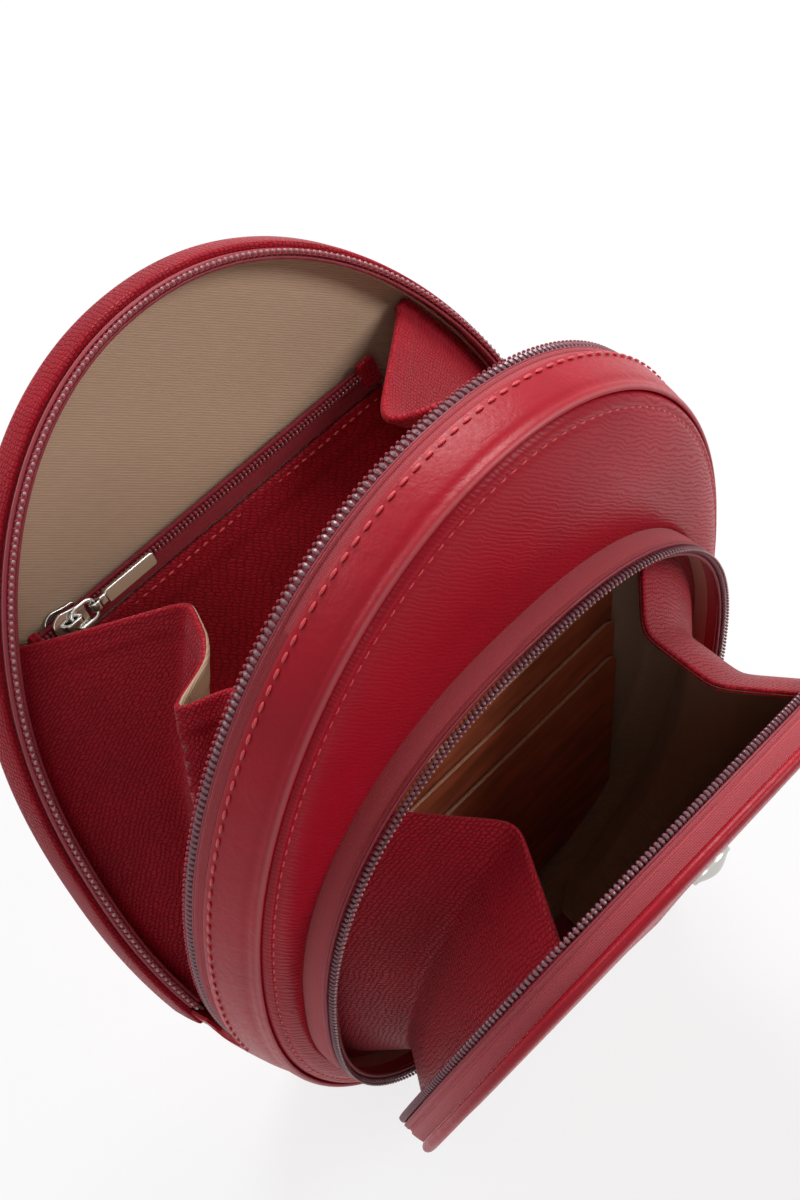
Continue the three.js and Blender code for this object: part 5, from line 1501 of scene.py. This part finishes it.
class POUCH_OT_sliders(bpy.types.Operator):
    """Sliders with their bridges, loops and flat puller bars"""

    bl_idname = "pouch.sliders"
    bl_label = "Sliders and pullers"

    def execute(self, context):
        open_by = sizes().shell_open
        face, right, down = Vector((0, -math.cos(open_by), math.sin(open_by))), Vector((1, 0, 0)), Vector((0, 0, -1))
        self.set("inner", SMALL_SLIDER, SMALL_PULL, -right, face, "inner_loop_lift", right)
        for name in ("main", "front"):
            swing = f"{name}_loop_swing"
            arm = self.joint_place(swing) - self.joint_place(f"{name}_slider_run")
            face = Vector((arm.x, 0, arm.z)).normalized()
            nose = Vector((-face.z, 0, face.x))
            self.set(name, LARGE_SLIDER, LARGE_PULL, nose, face, swing, down)
        return {"FINISHED"}

    @staticmethod
    def joint_place(name):
        """Where a joint of the frame lies."""
        return Vector(JOINTS[name]["pos_m"])

    def set(self, name, s, p, nose, face, joint, hang):
        """One slider with its loop and bar, placed by the loop's joint. s and p are its sizes and its puller's."""
        pivot = self.joint_place(joint)
        across = face.cross(nose)
        origin = pivot - face * (s["half_gap"] + s["plate"] + s["bridge_gap"] / 2)
        lay = self.basis(nose, across, face, origin)
        place_on(self.slider(name, s, lay), f"{name}_slider", "nickel", f"{name}_slider")
        out = across.cross(hang)
        lay = self.basis(-hang, across, -out if out.dot(face) < 0 else out, pivot)
        place_on(self.loop(name, p, lay), f"{name}_loop", "nickel", f"{name}_puller_loop")
        place_on(self.bar(name, p, lay), f"{name}_bar", "nickel", f"{name}_puller_bar")

    @staticmethod
    def basis(x, y, z, origin):
        """A frame from three directions and a place."""
        matrix = Matrix((x, y, z)).transposed().to_4x4()
        matrix.translation = origin
        return matrix

    @staticmethod
    def shaped(form, name, lay, bevel):
        """Softens a form's edges and turns it into a piece at its place."""
        bmesh.ops.remove_doubles(form, verts=form.verts, dist=1e-7)
        bmesh.ops.recalc_face_normals(form, faces=form.faces)
        edges = [e for e in form.edges if e.is_manifold and e.calc_face_angle(0) > math.radians(35)]
        bmesh.ops.bevel(form, geom=edges, offset=bevel, segments=3, profile=0.6, affect="EDGES")
        mesh = bpy.data.meshes.new(name)
        form.to_mesh(mesh)
        form.free()
        mesh.transform(lay)
        mesh.materials.append(plated_nickel())
        if lay.determinant() < 0:
            mesh.flip_normals()
        mesh.polygons.foreach_set("use_smooth", [True] * len(mesh.polygons))
        mesh.set_sharp_from_angle(angle=SHARP_EDGE)
        return link(name, mesh)

    @staticmethod
    def prism(form, outline, low, high):
        """Adds an upright block with an (x, y) outline."""
        foot = [form.verts.new((x, y, low)) for x, y in outline]
        top = [form.verts.new((x, y, high)) for x, y in outline]
        form.faces.new(list(reversed(foot)))
        form.faces.new(top)
        for i in range(len(outline)):
            k = (i + 1) % len(outline)
            form.faces.new((foot[i], foot[k], top[k], top[i]))

    @staticmethod
    def rounded(outline, radius, steps=5):
        """An outline with its corners rounded."""
        result = []
        count = len(outline)
        for i in range(count):
            corner = Vector(outline[i])
            before, after = Vector(outline[i - 1]) - corner, Vector(outline[(i + 1) % count]) - corner
            reach = min(radius, before.length * 0.45, after.length * 0.45)
            a, b = corner + before.normalized() * reach, corner + after.normalized() * reach
            for k in range(steps + 1):
                t = k / steps
                result.append(tuple(a * (1 - t) ** 2 + corner * 2 * t * (1 - t) + b * t * t))
        return result

    def slider(self, name, s, lay):
        """Two plates joined by a post, and an arched bridge for the loop."""
        half, side, nose = s["length"] / 2, s["width"] / 2, s["nose"]
        outline = [
            (-half, -side * 0.7), (-half + nose, -side * 0.72), (half - nose, -side), (half, -side * 0.6),
            (half, side * 0.6), (half - nose, side), (-half + nose, side * 0.72), (-half, side * 0.7),
        ]
        outline = self.rounded(outline, 1.6 * MM)
        form = bmesh.new()
        top, low = s["half_gap"] + s["plate"], s["back_gap"] + s["plate"]
        self.prism(form, outline, s["half_gap"], top)
        self.prism(form, outline, -low, -s["back_gap"])
        rear, front, thin = half - 2 * MM, half - 0.6 * MM, 0.25 * MM
        post = self.rounded([(rear, -thin), (front, -thin), (front, thin), (rear, thin)], 0.1 * MM, 2)
        self.prism(form, post, -low + 0.2 * MM, top - 0.2 * MM)
        span, gap, bar = s["bridge"] / 2, s["bridge_gap"], s["bridge_bar"]
        rows = []
        bend = lambda v: math.copysign(abs(v) ** 0.55, v)
        for turn in np.linspace(0, math.pi, 15):
            for reach, rise in ((span, gap + bar), (span - bar, gap)):
                rows.append((reach * bend(math.cos(turn)), top - 0.1 * MM + rise * bend(math.sin(turn))))
        wide = s["bridge_wide"] / 2
        verts = [[form.verts.new((x, y, z)) for y in (-wide, wide)] for x, z in rows]
        for i in range(14):
            o0, i0, o1, i1 = verts[2 * i], verts[2 * i + 1], verts[2 * i + 2], verts[2 * i + 3]
            form.faces.new((o0[0], o1[0], o1[1], o0[1]))
            form.faces.new((i0[0], i0[1], i1[1], i1[0]))
            form.faces.new((o0[0], i0[0], i1[0], o1[0]))
            form.faces.new((o0[1], o1[1], i1[1], i0[1]))
        form.faces.new((verts[0][0], verts[0][1], verts[1][1], verts[1][0]))
        form.faces.new((verts[28][0], verts[29][0], verts[29][1], verts[28][1]))
        return self.shaped(form, f"{name}_slider_body", lay, 0.22 * MM)

    def loop(self, name, p, lay):
        """A closed ring of round wire; its rear bar lies on the turning axis."""
        rear, front = 0.0, p["wire"] - p["loop"]
        side = (p["inner"] + p["wire"]) / 2 + 0.55 * MM
        corners = [(rear, -side), (rear, side), (front, side), (front, -side)]
        path = np.array(self.rounded(corners, 2.4 * MM, 8))
        ahead = np.roll(path, -1, 0) - np.roll(path, 1, 0)
        ahead /= np.linalg.norm(ahead, axis=1, keepdims=True)
        out = np.stack([ahead[:, 1], -ahead[:, 0]], -1)
        grid = []
        for turn in circle(12):
            spot = path + out * p["wire"] / 2 * math.cos(turn)
            grid.append(np.column_stack([spot, np.full(len(path), p["wire"] / 2 * math.sin(turn))]))
        grid = np.stack(grid, 1)
        world = np.array([[lay @ Vector(v) for v in row] for row in grid])
        return grid_piece(f"{name}_loop_wire", world, [plated_nickel()], ring=True)

    def bar(self, name, p, lay):
        """A knuckle round the loop's front wire, a neck and a flat bar."""
        pivot = p["wire"] - p["loop"]
        wide = (p["inner"] - 0.6 * MM) / 2
        form = bmesh.new()
        rings = []
        hole, rim = p["hole"] / 2, p["knuckle"] / 2
        for radius, y in ((hole, -wide), (rim, -wide), (rim, wide), (hole, wide)):
            rings.append([
                form.verts.new((pivot + radius * math.cos(a), y, radius * math.sin(a)))
                for a in circle(28)
            ])
        for i in range(4):
            first, second = rings[i], rings[(i + 1) % 4]
            for j in range(28):
                k = (j + 1) % 28
                form.faces.new((first[j], first[k], second[k], second[j]))
        start = pivot - rim - p["neck"]
        thick = p["bar_thick"] / 2
        foot, near = start - 0.3 * MM, pivot - hole - 0.2 * MM
        neck = [(foot, -wide), (near, -wide), (near, wide), (foot, wide)]
        self.prism(form, neck, -thick * 0.8, thick * 0.8)
        half, end = p["bar_wide"] / 2, start - p["bar"]
        plate = self.rounded([(end, -half), (start, -half), (start, half), (end, half)], 0.9 * MM)
        self.prism(form, plate, -thick, thick)
        return self.shaped(form, f"{name}_bar_plate", lay, 0.32 * MM)


class POUCH_OT_stitches(bpy.types.Operator):
    """Rows of stitches along the body's band, round the front and along the inner pocket's edge"""

    bl_idname = "pouch.stitches"
    bl_label = "Stitches"

    def execute(self, context):
        pouch = Pouch()
        s = pouch.sizes
        stitch = bead_shape("stitch", 2.4 * MM, 0.7 * MM, 0.5 * MM, power=2.3, rings=6)
        small = bead_shape("small_stitch", 1.7 * MM, 0.5 * MM, 0.45 * MM, power=2.3, around=6, rings=6)
        edge = pouch.fold - BAND_EDGE - 1.6 * MM
        u = pouch.above(pouch.body_oval, BAND_OUT, s.fold_height + 3 * MM, 400)
        path = pouch.body(BAND_OUT + 0.35 * MM, edge, u)
        face = pouch.body(BAND_OUT + 2 * MM, edge, u) - path
        bead_row("band_stitches", [(path, face)], s.stitch_pitch, stitch, sewing_thread(), "body", "red_leather")
        round_it = np.linspace(0, 1, 500)
        _, span = pouch.front_face(round_it, np.zeros(500))
        path, _ = pouch.front_face(round_it, FRONT_STITCHES * np.minimum(1, span / FULL_FRONT))
        bead_row("front_stitches", [(path, (0.0, -1.0, 0.0))], 3.0 * MM, small, sewing_thread(), "body", "red_leather")
        face = pouch.back - LINING_BACK - PANEL - PANEL
        run = np.linspace(-58, 52, 60) * MM
        path = pouch.shell_turn(run, face - 0.15 * MM, s.inner_top - 2.1 * MM)
        ahead = pouch.shell_ahead()
        bead_row("inner_stitches", [(path, ahead)], 2.6 * MM, small, sewing_thread(), "back_shell", "red_leather")
        drop(stitch, small)
        return {"FINISHED"}


# Lamps with their places in metres and their watts
LAMP_SIZE = 0.8
LAMPS = (
    ("back_light", (0.6, 0.8, 1.2), 18.0), ("side_light", (-0.6, 0.9, 1.2), 6.0),
    ("front_light", (0.9, -0.9, 1.0), 11.0), ("left_light", (-0.9, -0.9, 1.0), 2.5),
)

# Camera: degrees of turn, lift and roll, then millimetres away from, beside and above a point over the base,
# which are drawn in and moved to the size and origin of the pouch
CAMERA_TURNS = (-46.6, 51.8, -2.4)
CAMERA_STEPS = (595.53, -22.59, 50.84)
CAMERA_AIM = Vector((0, 0, 80))
CAMERA_CLOSER = 0.9625
CAMERA_SHIFT = Vector((0, 15.8, 3.0))


class POUCH_OT_stage(bpy.types.Operator):
    """Pale floor, soft studio light and the camera at the photograph's angle"""

    bl_idname = "pouch.stage"
    bl_label = "Stage"

    def execute(self, context):
        scene = context.scene
        scene.view_settings.view_transform = "Standard"
        reach = 2.5
        floor = mesh_piece("floor", [(-reach, -reach, 0), (reach, -reach, 0), (reach, reach, 0), (-reach, reach, 0)],
                           [(0, 1, 2, 3)], [studio_paper()], closed=False)
        floor.location.z = -0.0002
        self.world(scene)
        for name, spot, watts in LAMPS:
            self.lamp(name, Vector(spot), watts)
        self.camera(scene)
        return {"FINISHED"}

    def world(self, scene):
        """Even pale light from all round; white where the camera or a mirror sees it."""
        world = bpy.data.worlds.new("studio")
        world.use_nodes = True
        tree = world.node_tree
        tree.nodes.clear()
        ray = add_node(tree, "ShaderNodeLightPath")
        seen = add_node(tree, "ShaderNodeMath", {"operation": "MAXIMUM"}, {
            0: (ray, "Is Camera Ray"), 1: (ray, "Is Transmission Ray"),
        })
        mirror = add_node(tree, "ShaderNodeMapRange", None, {
            "Value": (ray, "Is Glossy Ray"), "To Min": 0.06, "To Max": 1.0,
        })
        level = add_node(tree, "ShaderNodeMath", {"operation": "MAXIMUM"}, {0: (seen, "Value"), 1: (mirror, "Result")})
        shine = add_node(tree, "ShaderNodeBackground", None, {"Color": (1, 1, 1, 1), "Strength": (level, "Value")})
        add_node(tree, "ShaderNodeOutputWorld", None, {"Surface": (shine, "Background")})
        scene.world = world

    @staticmethod
    def lamp(name, spot, watts):
        """A large soft lamp aimed at the pouch."""
        data = bpy.data.lights.new(name, "AREA")
        data.shape = "DISK"
        data.size = LAMP_SIZE
        data.energy = watts
        lamp = bpy.data.objects.new(name, data)
        bpy.context.scene.collection.objects.link(lamp)
        aim = Vector((0, 0, BODY_CENTRE)) - spot
        lamp.matrix_world = Matrix.Translation(spot) @ aim.to_track_quat("-Z", "Y").to_matrix().to_4x4()

    @staticmethod
    def camera(scene):
        """Stands to the left and above, as the photograph's did."""
        turn, lift, roll = (math.radians(degrees) for degrees in CAMERA_TURNS)
        back = Vector((math.sin(turn) * math.cos(lift), -math.cos(turn) * math.cos(lift), math.sin(lift)))
        right = Vector((math.cos(turn), math.sin(turn), 0))
        up = back.cross(right)
        away, aside, above = CAMERA_STEPS
        spot = back * away + right * aside + up * above + CAMERA_AIM
        spot = (spot * CAMERA_CLOSER - CAMERA_SHIFT) * MM
        data = bpy.data.cameras.new("photo_view")
        data.sensor_fit = "VERTICAL"
        data.sensor_height = 36
        data.lens = 78
        data.clip_start = 0.01
        camera = bpy.data.objects.new("photo_view", data)
        scene.collection.objects.link(camera)
        x_axis = right * math.cos(roll) + up * math.sin(roll)
        y_axis = up * math.cos(roll) - right * math.sin(roll)
        matrix = Matrix((x_axis, y_axis, back)).transposed().to_4x4()
        matrix.translation = spot
        camera.matrix_world = matrix
        scene.camera = camera


class POUCH_PT_pieces(bpy.types.Panel):
    """Lists the pouch's pieces and sizes"""

    bl_label = "Pouch"
    bl_idname = "POUCH_PT_pieces"
    bl_space_type = "VIEW_3D"
    bl_region_type = "UI"
    bl_category = "Pouch"

    def draw(self, context):
        layout = self.layout
        for maker in MAKERS:
            layout.operator(maker.bl_idname)
        for group in (context.scene.pouch_sizes, context.scene.pouch_colours):
            for name in group.__annotations__:
                layout.prop(group, name)


MAKERS = (
    POUCH_OT_stage, POUCH_OT_leather_body, POUCH_OT_leather_shell, POUCH_OT_zips, POUCH_OT_linings, POUCH_OT_cards,
    POUCH_OT_gussets, POUCH_OT_inner_pocket, POUCH_OT_flap, POUCH_OT_sliders, POUCH_OT_stitches,
)
CLASSES = (PouchSizes, PouchColours, *MAKERS, POUCH_PT_pieces)


def register():
    """Adds the classes and their settings."""
    for item in CLASSES:
        bpy.utils.register_class(item)
    bpy.types.Scene.pouch_sizes = PointerProperty(type=PouchSizes)
    bpy.types.Scene.pouch_colours = PointerProperty(type=PouchColours)


def unregister():
    """Takes the classes and their settings out again."""
    del bpy.types.Scene.pouch_colours
    del bpy.types.Scene.pouch_sizes
    for item in reversed(CLASSES):
        bpy.utils.unregister_class(item)


def main():
    """Builds every piece in order."""
    register()
    for maker in MAKERS:
        group, name = maker.bl_idname.split(".")
        getattr(getattr(bpy.ops, group), name)()


if __name__ == "__main__":
    main()
